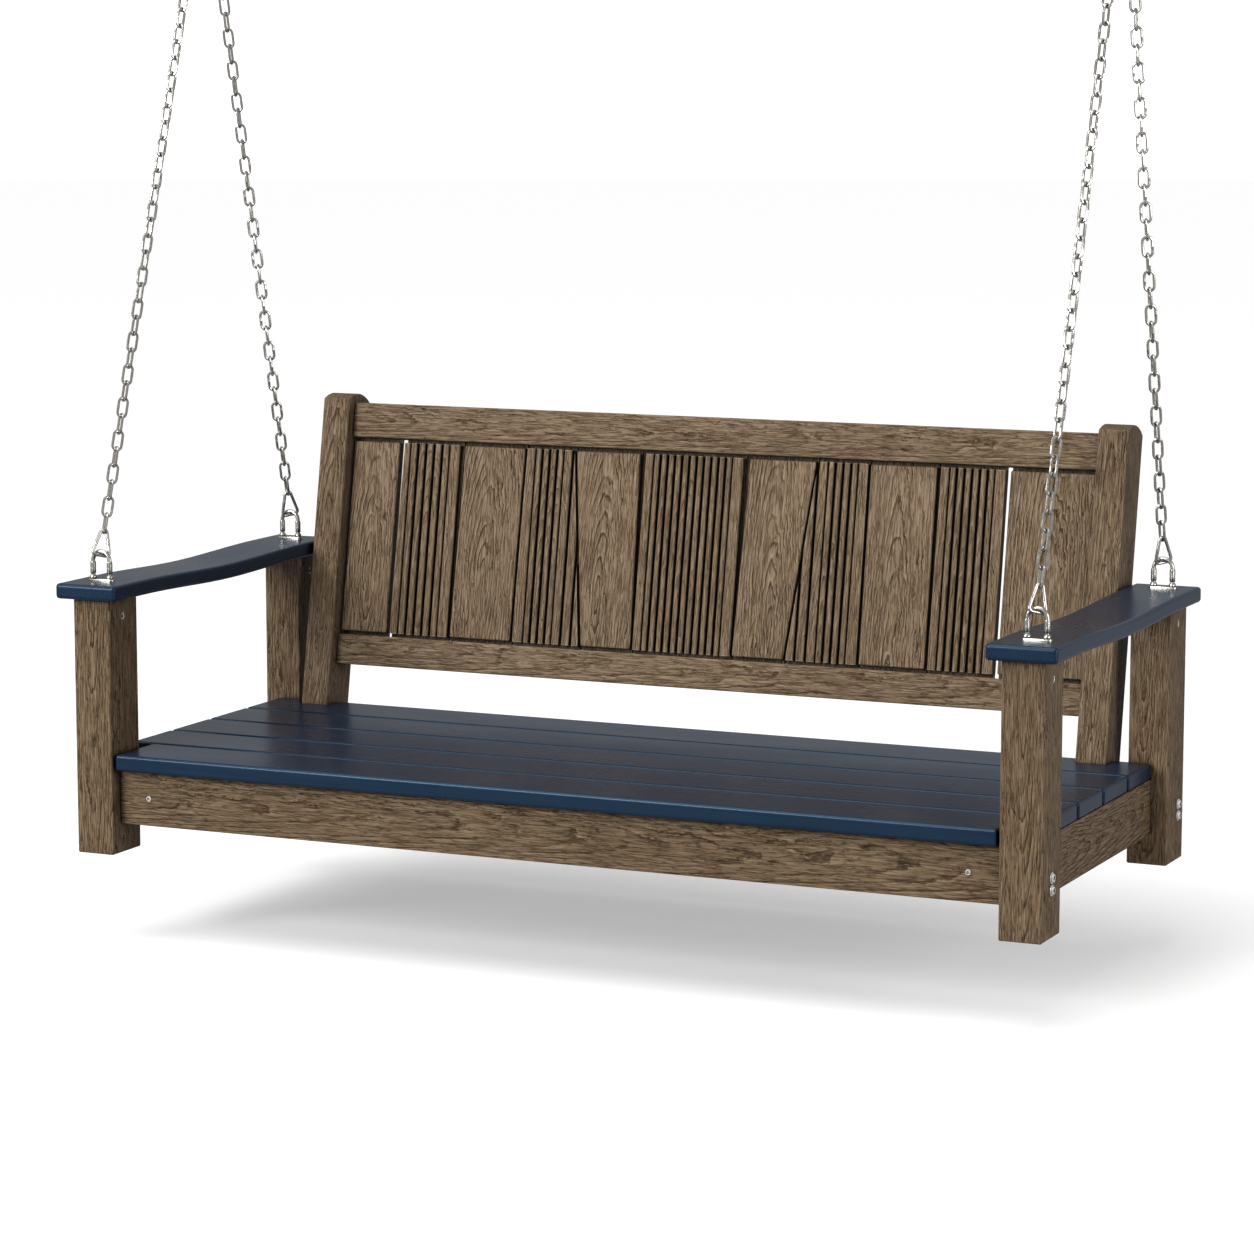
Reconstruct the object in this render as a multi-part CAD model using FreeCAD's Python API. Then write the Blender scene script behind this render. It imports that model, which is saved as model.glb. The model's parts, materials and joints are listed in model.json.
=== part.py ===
import FreeCAD, Part
import math
import os

# Porch swing for two or three people, hung on four chains from two ceiling brackets.
# It is laid out with x = 0 at mid-length and x growing to the right as seen from the
# front, y = 0 at the front of the front posts and y growing to the back, and z = 0
# under the post feet. On saving, everything moves so that the origin is the centre
# of the ceiling bolt pattern.

os.makedirs("parts", exist_ok=True)

# ---- driving dimensions, millimetres and degrees ----
SEAT_LENGTH = 1540.0        # clear length between left and right posts
POST_PITCH = 635.0          # front face of the front posts to front face of the rear posts
POST_WIDTH = 68.0
POST_DEPTH = 88.0
POST_HEIGHT = 425.0
POST_EDGE = 3.0             # eased edge of the posts

FRAME_THICKNESS = 40.0      # aprons, joists and back rails
FRAME_EDGE = 2.5
APRON_HEIGHT = 92.0
SEAT_HEIGHT = 168.5         # top of the slats above the post feet
REAR_APRON_GAP = 2.5        # behind the back of the stiles
CLEAT_THICKNESS = 25.5
END_JOIST_OFFSET = 56.0     # centre of an end joist inside the post
MID_JOISTS = 2
HOUSING_DEPTH = 8.0         # how far a joist is let into an apron

SLAT_COUNT = 5
SLAT_THICKNESS = 27.0
SLAT_GAP = 6.4
SLAT_EDGE = 5.0
FRONT_SLAT_SETBACK = 2.8
FRONT_SLAT_END_GAP = 4.0
REAR_SLAT_GAP = 1.0         # rear slat to rear posts
NOTCH_GAP = 2.0             # rear slat around the back stiles

ARM_THICKNESS = 25.4
ARM_OUTBOARD = 24.0         # past the outer face of the posts
ARM_INBOARD = 21.0          # past the inner face of the posts
ARM_FRONT = 17.0            # past the front of the front posts
ARM_REAR = 2.0              # past the back of the rear posts
ARM_DIP = 6.0               # how far the arm sags between the posts
ARM_EDGE = 6.0

STILE_WIDTH = 52.0
STILE_DEPTH = 80.0
STILE_AHEAD = 40.3          # front of a stile at the seat top, ahead of the rear posts
STILE_RISE = 543.5          # along the rake, seat top to the shoulder of the rounded top
STILE_CROWN = 13.0          # height of the rounded top
STILE_FOOT_CLEARANCE = 10.0 # foot above the bottom of the aprons
BACK_RAKE = 10.1            # degrees back from upright

TOP_RAIL_HEIGHT = 61.0
TOP_RAIL_DROP = 4.0         # below the shoulder of the stile
BOTTOM_RAIL_HEIGHT = 53.0
BOTTOM_RAIL_RISE = 74.5     # above the seat top, along the rake
TENON_LENGTH = 25.0
TENON_THICKNESS = 14.0
TENON_SHOULDER = 8.0

BOARD_THICKNESS = 18.0
BOARD_SETBACK = 5.0         # behind the front of the rails
BOARD_EDGE = 3.0
SHOULDER_GAP = 6.5          # open shadow line between a board and a rail
TONGUE_THICKNESS = 6.0
TONGUE_LENGTH = 10.0        # inside the rail groove
GROOVE_CLEARANCE = 0.4
RIB_HEIGHT = 11.0
RIB_STRIP = 19.0            # flat strip beside the ribs of a reeded board
RIB_GAP = 4.5
RIB_EDGE = 3.5
LAP_THICKNESS = 4.0         # strip that closes a gap from behind
LAP_GAP = 0.5
LAP_BITE = 5.0              # how far it runs on behind its own board
# Back boards from left to right: name, width at the top, width at the bottom, gap before
# it at the top and at the bottom, ribs between its flat strips (none on a plank), and
# whether a lap closes that gap. Planks share the length that the rest leaves.
BACK_BOARDS = (
    ("back_plank_1", 90.0, 90.0, 3.0, 3.0, 0, False),
    ("reeded_board_1", 113.0, 113.0, 10.3, 6.5, 5, False),
    ("back_plank_2", 117.0, 117.0, 6.0, 6.0, 0, True),
    ("reeded_board_2", 90.0, 127.0, 5.0, 5.0, 4, True),
    ("back_plank_3", 120.0, 94.0, 4.0, 5.0, 0, True),
    ("reeded_board_3", 182.0, 182.0, 12.0, 4.0, 11, True),
    ("back_plank_4", 120.0, 94.0, 12.0, 4.0, 0, True),
    ("reeded_board_4", 90.0, 127.0, 4.0, 5.0, 4, True),
    ("back_plank_5", 117.0, 117.0, 5.0, 5.0, 0, True),
    ("reeded_board_5", 115.0, 115.0, 5.0, 5.0, 6, True),
    ("back_plank_6", 150.0, 150.0, 9.5, 8.2, 0, False),
)
LAST_BOARD_GAP = 3.0

HANG_INSET = 28.0           # chain plane inside the outer face of the posts
U_BOLT_WIRE = 3.5           # radius
U_BOLT_LEGS = 31.5          # leg to leg
U_BOLT_RISE = 48.5          # arm top to the centre line of the bow
U_BOLT_HOLE_GAP = 0.25
SLEEVE_WALL = 1.2
SLEEVE_LENGTH = 20.0
SLEEVE_RISE = 11.5
STRAP_THICKNESS = 3.0
STRAP_WIDTH = 12.0
STRAP_OVERHANG = 8.0
FOOT_NUT_RADIUS = 6.0
FOOT_NUT_HEIGHT = 7.0
DOWEL_RADIUS = 6.0
DOWEL_DROP = 31.0           # below the top of the post
DOWEL_END_GAP = 1.0
LEG_PAST_DOWEL = 9.0

DELTA_WIRE = 2.75           # radius of the triangular link
DELTA_WIDTH = 30.5          # between centre lines of its bottom corners
DELTA_HEIGHT = 60.0         # to the sharp corner, before the bend
DELTA_BEND = 5.6
DELTA_TURN = 45.0           # degrees about the chain, from the bow
LINK_WIRE = 2.3
LINK_WIDTH = 20.0           # outside
LINK_PITCH = 28.0
LINK_GAP = 0.2              # slack between touching wires
REAR_LINKS = 40
FRONT_LINKS = 41
RING_RADIUS = 22.0          # centre line
RING_WIRE = 4.0

LUG_THICKNESS = 8.0
LUG_LENGTH = 28.0           # along the pivot
LUG_BARREL = 12.0
LUG_EYE = 7.0
LUG_DROP = 40.0             # pivot to eye
LUG_RING_GAP = 0.6
PIVOT_RADIUS = 5.0
PIVOT_CLEARANCE = 0.05      # running fit of the bush on the bolt
BUSH_WALL = 2.0
PIVOT_DROP = 28.0           # ceiling to pivot
EAR_THICKNESS = 5.0
EAR_RADIUS = 17.0
EAR_GAP = 0.5
PLATE_THICKNESS = 5.0
PLATE_WIDTH = 50.0
PLATE_LENGTH = 110.0
PLATE_CORNER = 6.0
CEILING_HOLE = 4.5
CEILING_HOLE_PITCH = 80.0
HEX_FLATS = 17.0
HEAD_HEIGHT = 7.0
NUT_HEIGHT = 9.0
BOLT_PAST_NUT = 2.0

BOLT_RADIUS = 4.0
BOLT_HOLE_GAP = 0.1
POST_BOLT_PITCH = 19.0
POST_BOLT_BELOW = 11.5      # pair centre below the apron's centre
BOLT_GRIP = 55.0            # length in the far piece
BOLT_HEAD_RADIUS = 6.5
BOLT_HEAD_HEIGHT = 3.5
WASHER_RADIUS = 8.6
WASHER_THICKNESS = 1.5
STILE_BOLT_ENDS = (45.0, 90.0)  # below the seat top, along the rake
STILE_BOLT_GRIP = 22.0
SCREW_RADIUS = 2.5
SCREW_HEAD_RADIUS = 4.6
SCREW_HEAD_HEIGHT = 2.0
APRON_SCREW_LENGTH = 60.0
CLEAT_SCREW_LENGTH = 55.0
CLEAT_SCREWS = 3
SLAT_SCREW_BITE = 16.0
SLAT_SCREW_LENGTH = 60.0
SLAT_SCREW_MARGIN = 28.0    # least distance to the front apron and the stiles

# ---- positions worked out from them ----
Vector = FreeCAD.Vector
X_AXIS = Vector(1, 0, 0)
Y_AXIS = Vector(0, 1, 0)
Z_AXIS = Vector(0, 0, 1)
SIDES = (("left", -1.0), ("right", 1.0))
POST_INNER = SEAT_LENGTH / 2
POST_OUTER = POST_INNER + POST_WIDTH
APRON_OUTER = POST_INNER + FRAME_THICKNESS
APRON_TOP = SEAT_HEIGHT - SLAT_THICKNESS
APRON_BOTTOM = APRON_TOP - APRON_HEIGHT
FRONT_APRON_Y = (POST_DEPTH - FRAME_THICKNESS) / 2
STILE_FRONT = POST_PITCH - STILE_AHEAD
LEAN = math.radians(BACK_RAKE)
STILE_BACK_AT_APRON = (STILE_FRONT + STILE_DEPTH / math.cos(LEAN)
                       - SLAT_THICKNESS * math.tan(LEAN))
REAR_APRON_Y = STILE_BACK_AT_APRON + REAR_APRON_GAP
APRON_MID_Z = (APRON_TOP + APRON_BOTTOM) / 2
STILE_OUTER = POST_INNER - CLEAT_THICKNESS
STILE_INNER = STILE_OUTER - STILE_WIDTH
RAIL_FRONT = (STILE_DEPTH - FRAME_THICKNESS) / 2
BOARD_FRONT = RAIL_FRONT + BOARD_SETBACK
BOARD_BACK = BOARD_FRONT + BOARD_THICKNESS
RIB_ROOT = BOARD_FRONT + RIB_HEIGHT
TONGUE_FRONT = RIB_ROOT
BOTTOM_RAIL_TOP = BOTTOM_RAIL_RISE + BOTTOM_RAIL_HEIGHT
TOP_RAIL_TOP = STILE_RISE - TOP_RAIL_DROP
TOP_RAIL_BOTTOM = TOP_RAIL_TOP - TOP_RAIL_HEIGHT
BOARD_LOW = BOTTOM_RAIL_TOP + SHOULDER_GAP
BOARD_HIGH = TOP_RAIL_BOTTOM - SHOULDER_GAP
HANG_X = POST_OUTER - HANG_INSET
HANG_YS = (("front", POST_DEPTH / 2), ("rear", POST_PITCH + POST_DEPTH / 2))
ARM_TOP = POST_HEIGHT + ARM_THICKNESS
BOW_Z = ARM_TOP + U_BOLT_RISE
DOWEL_Z = POST_HEIGHT - DOWEL_DROP
POST_BOLT_ZS = (APRON_MID_Z - POST_BOLT_BELOW + POST_BOLT_PITCH / 2,
                APRON_MID_Z - POST_BOLT_BELOW - POST_BOLT_PITCH / 2)
BOLT_HOLE = BOLT_RADIUS + BOLT_HOLE_GAP
SCREW_HOLE = SCREW_RADIUS + BOLT_HOLE_GAP
END_JOIST_X = POST_INNER - END_JOIST_OFFSET


# ---- shape helpers ----
def block(x_range, y_range, z_range, edge=0.0):
    """Box between pairs of coordinates, given in any order, with eased edges."""
    lows = [min(pair) for pair in (x_range, y_range, z_range)]
    sizes = [abs(pair[1] - pair[0]) for pair in (x_range, y_range, z_range)]
    solid = Part.makeBox(sizes[0], sizes[1], sizes[2], Vector(*lows))
    return solid.makeFillet(edge, solid.Edges) if edge else solid


def rod(start, direction, length, radius):
    return Part.makeCylinder(radius, length, start, direction)


def drilled(solid, holes):
    """The solid less a list of hole solids."""
    return solid.cut(Part.makeCompound(holes))


def prism(points, direction):
    """Solid from a closed outline of points, pushed along a vector."""
    return Part.Face(Part.makePolygon(points + [points[0]])).extrude(direction)


def hexagon(centre, direction, height):
    """Hexagonal head or nut that stands on centre along +X or -X."""
    across = HEX_FLATS / math.sqrt(3.0)
    corners = []
    for step in range(6):
        angle = math.radians(60.0 * step)
        corners.append(centre + Vector(0, across * math.cos(angle), across * math.sin(angle)))
    return prism(corners, direction * height)


def bent_rod(corners, bend, radius, closed):
    """Round rod along straight runs joined by tangent bends of one radius."""
    count = len(corners)
    turns = []
    for index, corner in enumerate(corners):
        if not closed and index in (0, count - 1):
            turns.append((corner, corner))
            continue
        back = (corners[index - 1] - corner).normalize()
        ahead = (corners[(index + 1) % count] - corner).normalize()
        opening = back.getAngle(ahead)
        setback = bend / math.tan(opening / 2)
        centre = corner + (back + ahead).normalize() * (bend / math.sin(opening / 2))
        turns.append((corner + back * setback, corner + ahead * setback, centre,
                      math.degrees(math.pi - opening)))
    pieces = []
    for index, turn in enumerate(turns):
        if len(turn) == 4:
            travel = (corners[index] - turn[0]).normalize()
            face = Part.Face(Part.Wire(Part.Circle(turn[0], travel, radius).toShape()))
            axis = (turn[0] - turn[2]).cross(travel)
            pieces.append(face.revolve(turn[2], axis, turn[3]))
        if closed or index < count - 1:
            run = turns[(index + 1) % count][0] - turn[1]
            if run.Length > 0.01:
                pieces.append(rod(turn[1], run, run.Length, radius))
    return pieces[0].multiFuse(pieces[1:]).removeSplitter()


def raked(solid):
    """Lean a piece drawn upright, with y = 0 on the stile fronts and z = 0 at the seat."""
    leaned = solid.copy()
    leaned.rotate(Vector(0, 0, 0), X_AXIS, -BACK_RAKE)
    leaned.translate(Vector(0, STILE_FRONT, SEAT_HEIGHT))
    return leaned


def placed(solid, start, along, turn):
    """Stand a piece drawn up +Z on start, pointing along a line and turned about it."""
    across = X_AXIS
    other = along.cross(across)
    angle = math.radians(turn)
    width = across * math.cos(angle) + other * math.sin(angle)
    rotation = FreeCAD.Rotation(width, along.cross(width), along, "ZXY")
    piece = solid.copy()
    piece.Placement = FreeCAD.Placement(start, rotation)
    return piece


# ---- seat ----
def post_bolt_holes(side, y):
    """Clearance holes from the outer face of a post into the end of an apron."""
    start = side * POST_OUTER
    length = POST_WIDTH + BOLT_GRIP
    return [rod(Vector(start, y, z), X_AXIS * -side, length, BOLT_HOLE) for z in POST_BOLT_ZS]


def u_bolt_leg_holes(side, y, low, high):
    holes = []
    for shift in (-U_BOLT_LEGS / 2, U_BOLT_LEGS / 2):
        start = Vector(side * HANG_X + shift, y, low)
        holes.append(rod(start, Z_AXIS, high - low, U_BOLT_WIRE + U_BOLT_HOLE_GAP))
    return holes


def apron_bolt_y(place):
    return (FRONT_APRON_Y if place == "front" else REAR_APRON_Y) + FRAME_THICKNESS / 2


def make_post(side, place, hang_y):
    y = hang_y - POST_DEPTH / 2
    post = block((side * POST_INNER, side * POST_OUTER), (y, y + POST_DEPTH),
                 (0, POST_HEIGHT), POST_EDGE)
    leg_end = DOWEL_Z - LEG_PAST_DOWEL - U_BOLT_WIRE
    holes = u_bolt_leg_holes(side, hang_y, leg_end, POST_HEIGHT)
    holes.append(rod(Vector(side * POST_INNER, hang_y, DOWEL_Z), X_AXIS * side, POST_WIDTH,
                     DOWEL_RADIUS + BOLT_HOLE_GAP))
    return drilled(post, holes + post_bolt_holes(side, apron_bolt_y(place)))


def joist_xs():
    step = 2 * POST_INNER / (MID_JOISTS + 1)
    return [-POST_INNER + step * (index + 1) for index in range(MID_JOISTS)]


def make_mid_joist(x):
    return block((x - FRAME_THICKNESS / 2, x + FRAME_THICKNESS / 2),
                 (FRONT_APRON_Y + FRAME_THICKNESS - HOUSING_DEPTH, REAR_APRON_Y + HOUSING_DEPTH),
                 (APRON_BOTTOM, APRON_TOP))


def make_end_joist(side):
    """Joist behind the front apron that butts against the raked front of a stile."""
    x = side * END_JOIST_X
    joist = block((x - FRAME_THICKNESS / 2, x + FRAME_THICKNESS / 2),
                  (FRONT_APRON_Y + FRAME_THICKNESS, STILE_FRONT), (APRON_BOTTOM, APRON_TOP))
    behind = raked(block((-POST_OUTER, POST_OUTER), (0, POST_DEPTH), (-SEAT_HEIGHT, 0)))
    return joist.cut(behind)


def make_apron(place):
    """Front or rear apron between the posts, with the mid joists let in."""
    y = FRONT_APRON_Y if place == "front" else REAR_APRON_Y
    apron = block((-POST_INNER, POST_INNER), (y, y + FRAME_THICKNESS),
                  (APRON_BOTTOM, APRON_TOP), FRAME_EDGE)
    holes = [make_mid_joist(x) for x in joist_xs()]
    for _, side in SIDES:
        holes += post_bolt_holes(side, apron_bolt_y(place))
        if place == "front":
            holes.append(rod(Vector(side * END_JOIST_X, y, APRON_MID_Z), Y_AXIS,
                             FRAME_THICKNESS, SCREW_HOLE))
    return drilled(apron, holes)


def cleat_screw_ys():
    span = POST_PITCH - POST_DEPTH
    return [POST_DEPTH + span * (index + 0.5) / CLEAT_SCREWS for index in range(CLEAT_SCREWS)]


def cleat_screw_holes(side):
    return [rod(Vector(side * STILE_OUTER, y, APRON_MID_Z), X_AXIS * side, CLEAT_SCREW_LENGTH,
                SCREW_HOLE) for y in cleat_screw_ys()]


def make_side_apron(side):
    apron = block((side * POST_INNER, side * APRON_OUTER), (POST_DEPTH, POST_PITCH),
                  (APRON_BOTTOM, APRON_TOP), FRAME_EDGE)
    return drilled(apron, cleat_screw_holes(side))


def stile_bolt_starts(side):
    """Points on the inner face of a stile where its two bolts enter."""
    starts = []
    for drop in STILE_BOLT_ENDS:
        point = raked(Part.Vertex(side * STILE_INNER, STILE_DEPTH / 2, -drop)).Point
        starts.append(point)
    return starts


def stile_bolt_holes(side):
    length = STILE_WIDTH + STILE_BOLT_GRIP
    return [rod(start, X_AXIS * side, length, BOLT_HOLE) for start in stile_bolt_starts(side)]


def make_cleat(side):
    cleat = block((side * STILE_OUTER, side * POST_INNER),
                  (FRONT_APRON_Y + FRAME_THICKNESS, REAR_APRON_Y), (APRON_BOTTOM, APRON_TOP))
    return drilled(cleat, cleat_screw_holes(side) + stile_bolt_holes(side))


def slat_screw_points():
    """Undersides of the screws that hold each slat to every joist."""
    points = []
    z = APRON_TOP + SLAT_SCREW_BITE - SLAT_SCREW_LENGTH
    first = FRONT_APRON_Y + FRAME_THICKNESS + SLAT_SCREW_MARGIN
    last = STILE_FRONT - SLAT_SCREW_MARGIN
    for front in slat_fronts():
        y = min(max(front + slat_width() / 2, first), last)
        for x in [-END_JOIST_X] + joist_xs() + [END_JOIST_X]:
            points.append(Vector(x, y, z))
    return points


def slat_screw_holes():
    """Shank holes with a counterbore that opens under the joists."""
    holes = []
    for point in slat_screw_points():
        holes.append(rod(point, Z_AXIS, SLAT_SCREW_LENGTH, SCREW_HOLE))
        holes.append(rod(Vector(point.x, point.y, APRON_BOTTOM), Z_AXIS,
                         point.z - APRON_BOTTOM, SCREW_HEAD_RADIUS + BOLT_HOLE_GAP))
    return holes


def slat_width():
    room = POST_PITCH - FRONT_SLAT_SETBACK - REAR_SLAT_GAP
    return (room - SLAT_GAP * (SLAT_COUNT - 1)) / SLAT_COUNT


def slat_fronts():
    step = slat_width() + SLAT_GAP
    return [FRONT_SLAT_SETBACK + step * index for index in range(SLAT_COUNT)]


def make_slat(index, y):
    """Seat slat; the front one fits between the posts and the rear one round the stiles."""
    reach = POST_INNER - FRONT_SLAT_END_GAP if index == 0 else APRON_OUTER
    slat = block((-reach, reach), (y, y + slat_width()), (APRON_TOP, SEAT_HEIGHT), SLAT_EDGE)
    holes = slat_screw_holes()
    for _, side in SIDES:
        holes.append(raked(block((side * (STILE_INNER - NOTCH_GAP), side * (STILE_OUTER + NOTCH_GAP)),
                                 (-NOTCH_GAP, POST_DEPTH + STILE_DEPTH),
                                 (-SEAT_HEIGHT, POST_DEPTH))))
    return drilled(slat, holes)


# ---- arms ----
def arm_edge(z):
    """Edges of one face of an arm in the y-z plane: flat on the posts, dipped between."""
    rear_end = POST_PITCH + POST_DEPTH + ARM_REAR
    middle = Vector(0, (POST_DEPTH + POST_PITCH) / 2, z - ARM_DIP)
    dip = Part.BSplineCurve()
    dip.interpolate(Points=[Vector(0, POST_DEPTH, z), middle, Vector(0, POST_PITCH, z)],
                    InitialTangent=Y_AXIS, FinalTangent=Y_AXIS)
    return [Part.LineSegment(Vector(0, -ARM_FRONT, z), Vector(0, POST_DEPTH, z)).toShape(),
            dip.toShape(),
            Part.LineSegment(Vector(0, POST_PITCH, z), Vector(0, rear_end, z)).toShape()]


def make_arm(side):
    rear_end = POST_PITCH + POST_DEPTH + ARM_REAR
    low = arm_edge(POST_HEIGHT)
    high = arm_edge(ARM_TOP)
    ends = [Part.LineSegment(Vector(0, y, POST_HEIGHT), Vector(0, y, ARM_TOP)).toShape()
            for y in (-ARM_FRONT, rear_end)]
    outline = Part.Wire(Part.__sortEdges__(low + [ends[1]] + high + [ends[0]]))
    width = ARM_OUTBOARD + POST_WIDTH + ARM_INBOARD
    arm = Part.Face(outline).extrude(X_AXIS * width)
    arm.translate(Vector(side * (POST_OUTER + ARM_OUTBOARD) - (width if side > 0 else 0), 0, 0))
    arm = arm.makeFillet(ARM_EDGE, arm.Edges)
    holes = []
    for _, y in HANG_YS:
        holes += u_bolt_leg_holes(side, y, POST_HEIGHT, ARM_TOP)
    return drilled(arm, holes)


# ---- back, drawn upright and then leaned ----
def make_rail(low, high, groove_low, groove_high):
    """Rail with a tenon at each end and a groove for the board tongues."""
    rail = block((-STILE_INNER, STILE_INNER), (RAIL_FRONT, RAIL_FRONT + FRAME_THICKNESS),
                 (low, high), FRAME_EDGE)
    tenon_front = (STILE_DEPTH - TENON_THICKNESS) / 2
    tenon = block((-STILE_INNER - TENON_LENGTH, STILE_INNER + TENON_LENGTH),
                  (tenon_front, tenon_front + TENON_THICKNESS),
                  (low + TENON_SHOULDER, high - TENON_SHOULDER))
    groove = block((-STILE_INNER, STILE_INNER),
                   (TONGUE_FRONT - GROOVE_CLEARANCE, TONGUE_FRONT + TONGUE_THICKNESS + GROOVE_CLEARANCE),
                   (groove_low, groove_high))
    return rail.fuse(tenon).cut(groove).removeSplitter()


def top_rail():
    return make_rail(TOP_RAIL_BOTTOM, TOP_RAIL_TOP, TOP_RAIL_BOTTOM,
                     TOP_RAIL_BOTTOM + TONGUE_LENGTH + GROOVE_CLEARANCE)


def bottom_rail():
    return make_rail(BOTTOM_RAIL_RISE, BOTTOM_RAIL_TOP,
                     BOTTOM_RAIL_TOP - TONGUE_LENGTH - GROOVE_CLEARANCE, BOTTOM_RAIL_TOP)


def make_stile(side):
    """Raked stile with a rounded top and a level foot beside its cleat."""
    foot = -SEAT_HEIGHT
    corners = [Vector(side * STILE_OUTER, y, z) for y, z in
               ((0, STILE_RISE), (0, foot), (STILE_DEPTH, foot), (STILE_DEPTH, STILE_RISE))]
    crown = Part.Arc(corners[3], Vector(side * STILE_OUTER, STILE_DEPTH / 2, STILE_RISE + STILE_CROWN),
                     corners[0]).toShape()
    outline = Part.Wire(Part.makePolygon(corners).Edges + [crown])
    stile = Part.Face(outline).extrude(X_AXIS * (-side * STILE_WIDTH))
    stile = stile.makeFillet(POST_EDGE, stile.Edges)
    stile = raked(drilled(stile, [top_rail(), bottom_rail()]))
    below = block((-POST_OUTER, POST_OUTER), (0, POST_PITCH + POST_DEPTH),
                  (-SEAT_HEIGHT, APRON_BOTTOM + STILE_FOOT_CLEARANCE))
    return drilled(stile.cut(below), stile_bolt_holes(side))


def board_corners():
    """Name, ribs and edges of each board and its lap.

    Edges are the left and right x at the lower end of the face, then at the upper end.
    """
    totals = []
    for column in (2, 1):
        planks = sum(row[column] for row in BACK_BOARDS if not row[5])
        rest = sum(row[column] for row in BACK_BOARDS if row[5])
        gaps = sum(row[column + 2] for row in BACK_BOARDS) + LAST_BOARD_GAP
        totals.append((2 * STILE_INNER - rest - gaps) / planks)
    result = []
    x_low = x_high = -STILE_INNER
    for name, high, low, gap_high, gap_low, ribs, lapped in BACK_BOARDS:
        low_width = low if ribs else low * totals[0]
        high_width = high if ribs else high * totals[1]
        lap = (x_low + LAP_GAP, x_low + gap_low + LAP_BITE,
               x_high + LAP_GAP, x_high + gap_high + LAP_BITE)
        x_low += gap_low
        x_high += gap_high
        sides = (x_low, x_low + low_width, x_high, x_high + high_width)
        result.append((name, ribs, sides, lap if lapped else None))
        x_low += low_width
        x_high += high_width
    return result


def board_prism(sides, z_range, y_range):
    """Slab between two edge lines, given as x at the low and high ends of the face."""
    left_low, right_low, left_high, right_high = sides
    points = []
    for z, low, high in ((z_range[0], left_low, left_high), (z_range[0], right_low, right_high),
                         (z_range[1], right_low, right_high), (z_range[1], left_low, left_high)):
        share = (z - BOARD_LOW) / (BOARD_HIGH - BOARD_LOW)
        points.append(Vector(low + (high - low) * share, y_range[0], z))
    return prism(points, Y_AXIS * (y_range[1] - y_range[0]))


def make_backing(sides, lap):
    """Thin full-height body behind a board: its two tongues and its lap."""
    tongue = board_prism(sides, (BOTTOM_RAIL_TOP - TONGUE_LENGTH, TOP_RAIL_BOTTOM + TONGUE_LENGTH),
                         (TONGUE_FRONT, TONGUE_FRONT + TONGUE_THICKNESS))
    if lap is None:
        return tongue
    strip = board_prism(lap, (BOTTOM_RAIL_TOP + LAP_GAP, TOP_RAIL_BOTTOM - LAP_GAP),
                        (BOARD_BACK - LAP_THICKNESS, BOARD_BACK))
    return tongue.fuse(strip)


def make_plank(sides, lap):
    face = board_prism(sides, (BOARD_LOW, BOARD_HIGH), (BOARD_FRONT, BOARD_BACK))
    eased = face.makeFillet(BOARD_EDGE, face.Edges)
    return eased.fuse(make_backing(sides, lap)).removeSplitter()


def make_bar(x, width, edge):
    """One upright bar with its two front edges eased, too long, to be trimmed."""
    root = RIB_ROOT + 1
    bar = block((x - width / 2, x + width / 2), (BOARD_FRONT, root), (0, STILE_RISE))
    front = [line for line in bar.Edges
             if line.BoundBox.ZLength > width and line.BoundBox.YMax < RIB_ROOT]
    return bar.makeFillet(edge, front)


def make_reeded_board(sides, lap, ribs):
    """Board with flat strips and upright ribs that start at its upright edge.

    A board that widens downwards carries on with more flat strips, and its slanted
    edge cuts across them.
    """
    z_range = (BOARD_LOW, BOARD_HIGH)
    left_low, right_low, left_high, right_high = sides
    upright = left_low if abs(left_low - left_high) < abs(right_low - right_high) else right_low
    inward = 1.0 if upright == left_low else -1.0
    narrow = min(right_low - left_low, right_high - left_high)
    wide = max(right_low - left_low, right_high - left_high)
    pieces = [board_prism(sides, z_range, (RIB_ROOT, BOARD_BACK)), make_backing(sides, lap)]
    pitch = (narrow - 2 * RIB_STRIP + RIB_GAP) / ribs
    places = [(0.0, RIB_STRIP)]
    for index in range(ribs):
        start = RIB_STRIP + pitch * index
        places.append((start + RIB_GAP / 2, start + pitch - RIB_GAP / 2))
    start = narrow - RIB_STRIP + RIB_GAP
    while start < wide:
        places.append((start, start + RIB_STRIP - RIB_GAP))
        start += RIB_STRIP
    field = board_prism(sides, z_range, (BOARD_FRONT, RIB_ROOT + 1))
    for index, (near, far) in enumerate(places):
        middle = upright + inward * (near + far) / 2
        flat = index == 0 or index > ribs
        bar = make_bar(middle, far - near, BOARD_EDGE if flat else RIB_EDGE).common(field)
        pieces += bar.Solids
    return pieces[0].multiFuse(pieces[1:]).removeSplitter()


# ---- suspension ----
def first_link():
    """From the centre of a U-bolt bow up to the lower bend of the first chain link."""
    half_apex = math.atan2(DELTA_WIDTH / 2, DELTA_HEIGHT)
    apex = DELTA_HEIGHT - DELTA_BEND / math.sin(half_apex) + DELTA_BEND
    return apex - (U_BOLT_WIRE + 2 * DELTA_WIRE + LINK_WIRE + 2 * LINK_GAP)


def chain_length(links):
    """From the centre of a U-bolt bow to the centre of the ring above it."""
    last = RING_RADIUS - (RING_WIRE + LINK_WIRE + LINK_GAP)
    return first_link() + LINK_PITCH * links + 2 * LINK_WIRE + LINK_GAP + last


def ring_centre():
    """Height and depth where a front and a rear chain of these lengths meet."""
    front = chain_length(FRONT_LINKS)
    rear = chain_length(REAR_LINKS)
    front_y = HANG_YS[0][1]
    rear_y = HANG_YS[1][1]
    reach = rear_y - front_y
    forward = (front ** 2 - rear ** 2 + reach ** 2) / (2 * reach)
    return front_y + forward, BOW_Z + math.sqrt(front ** 2 - forward ** 2)


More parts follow.
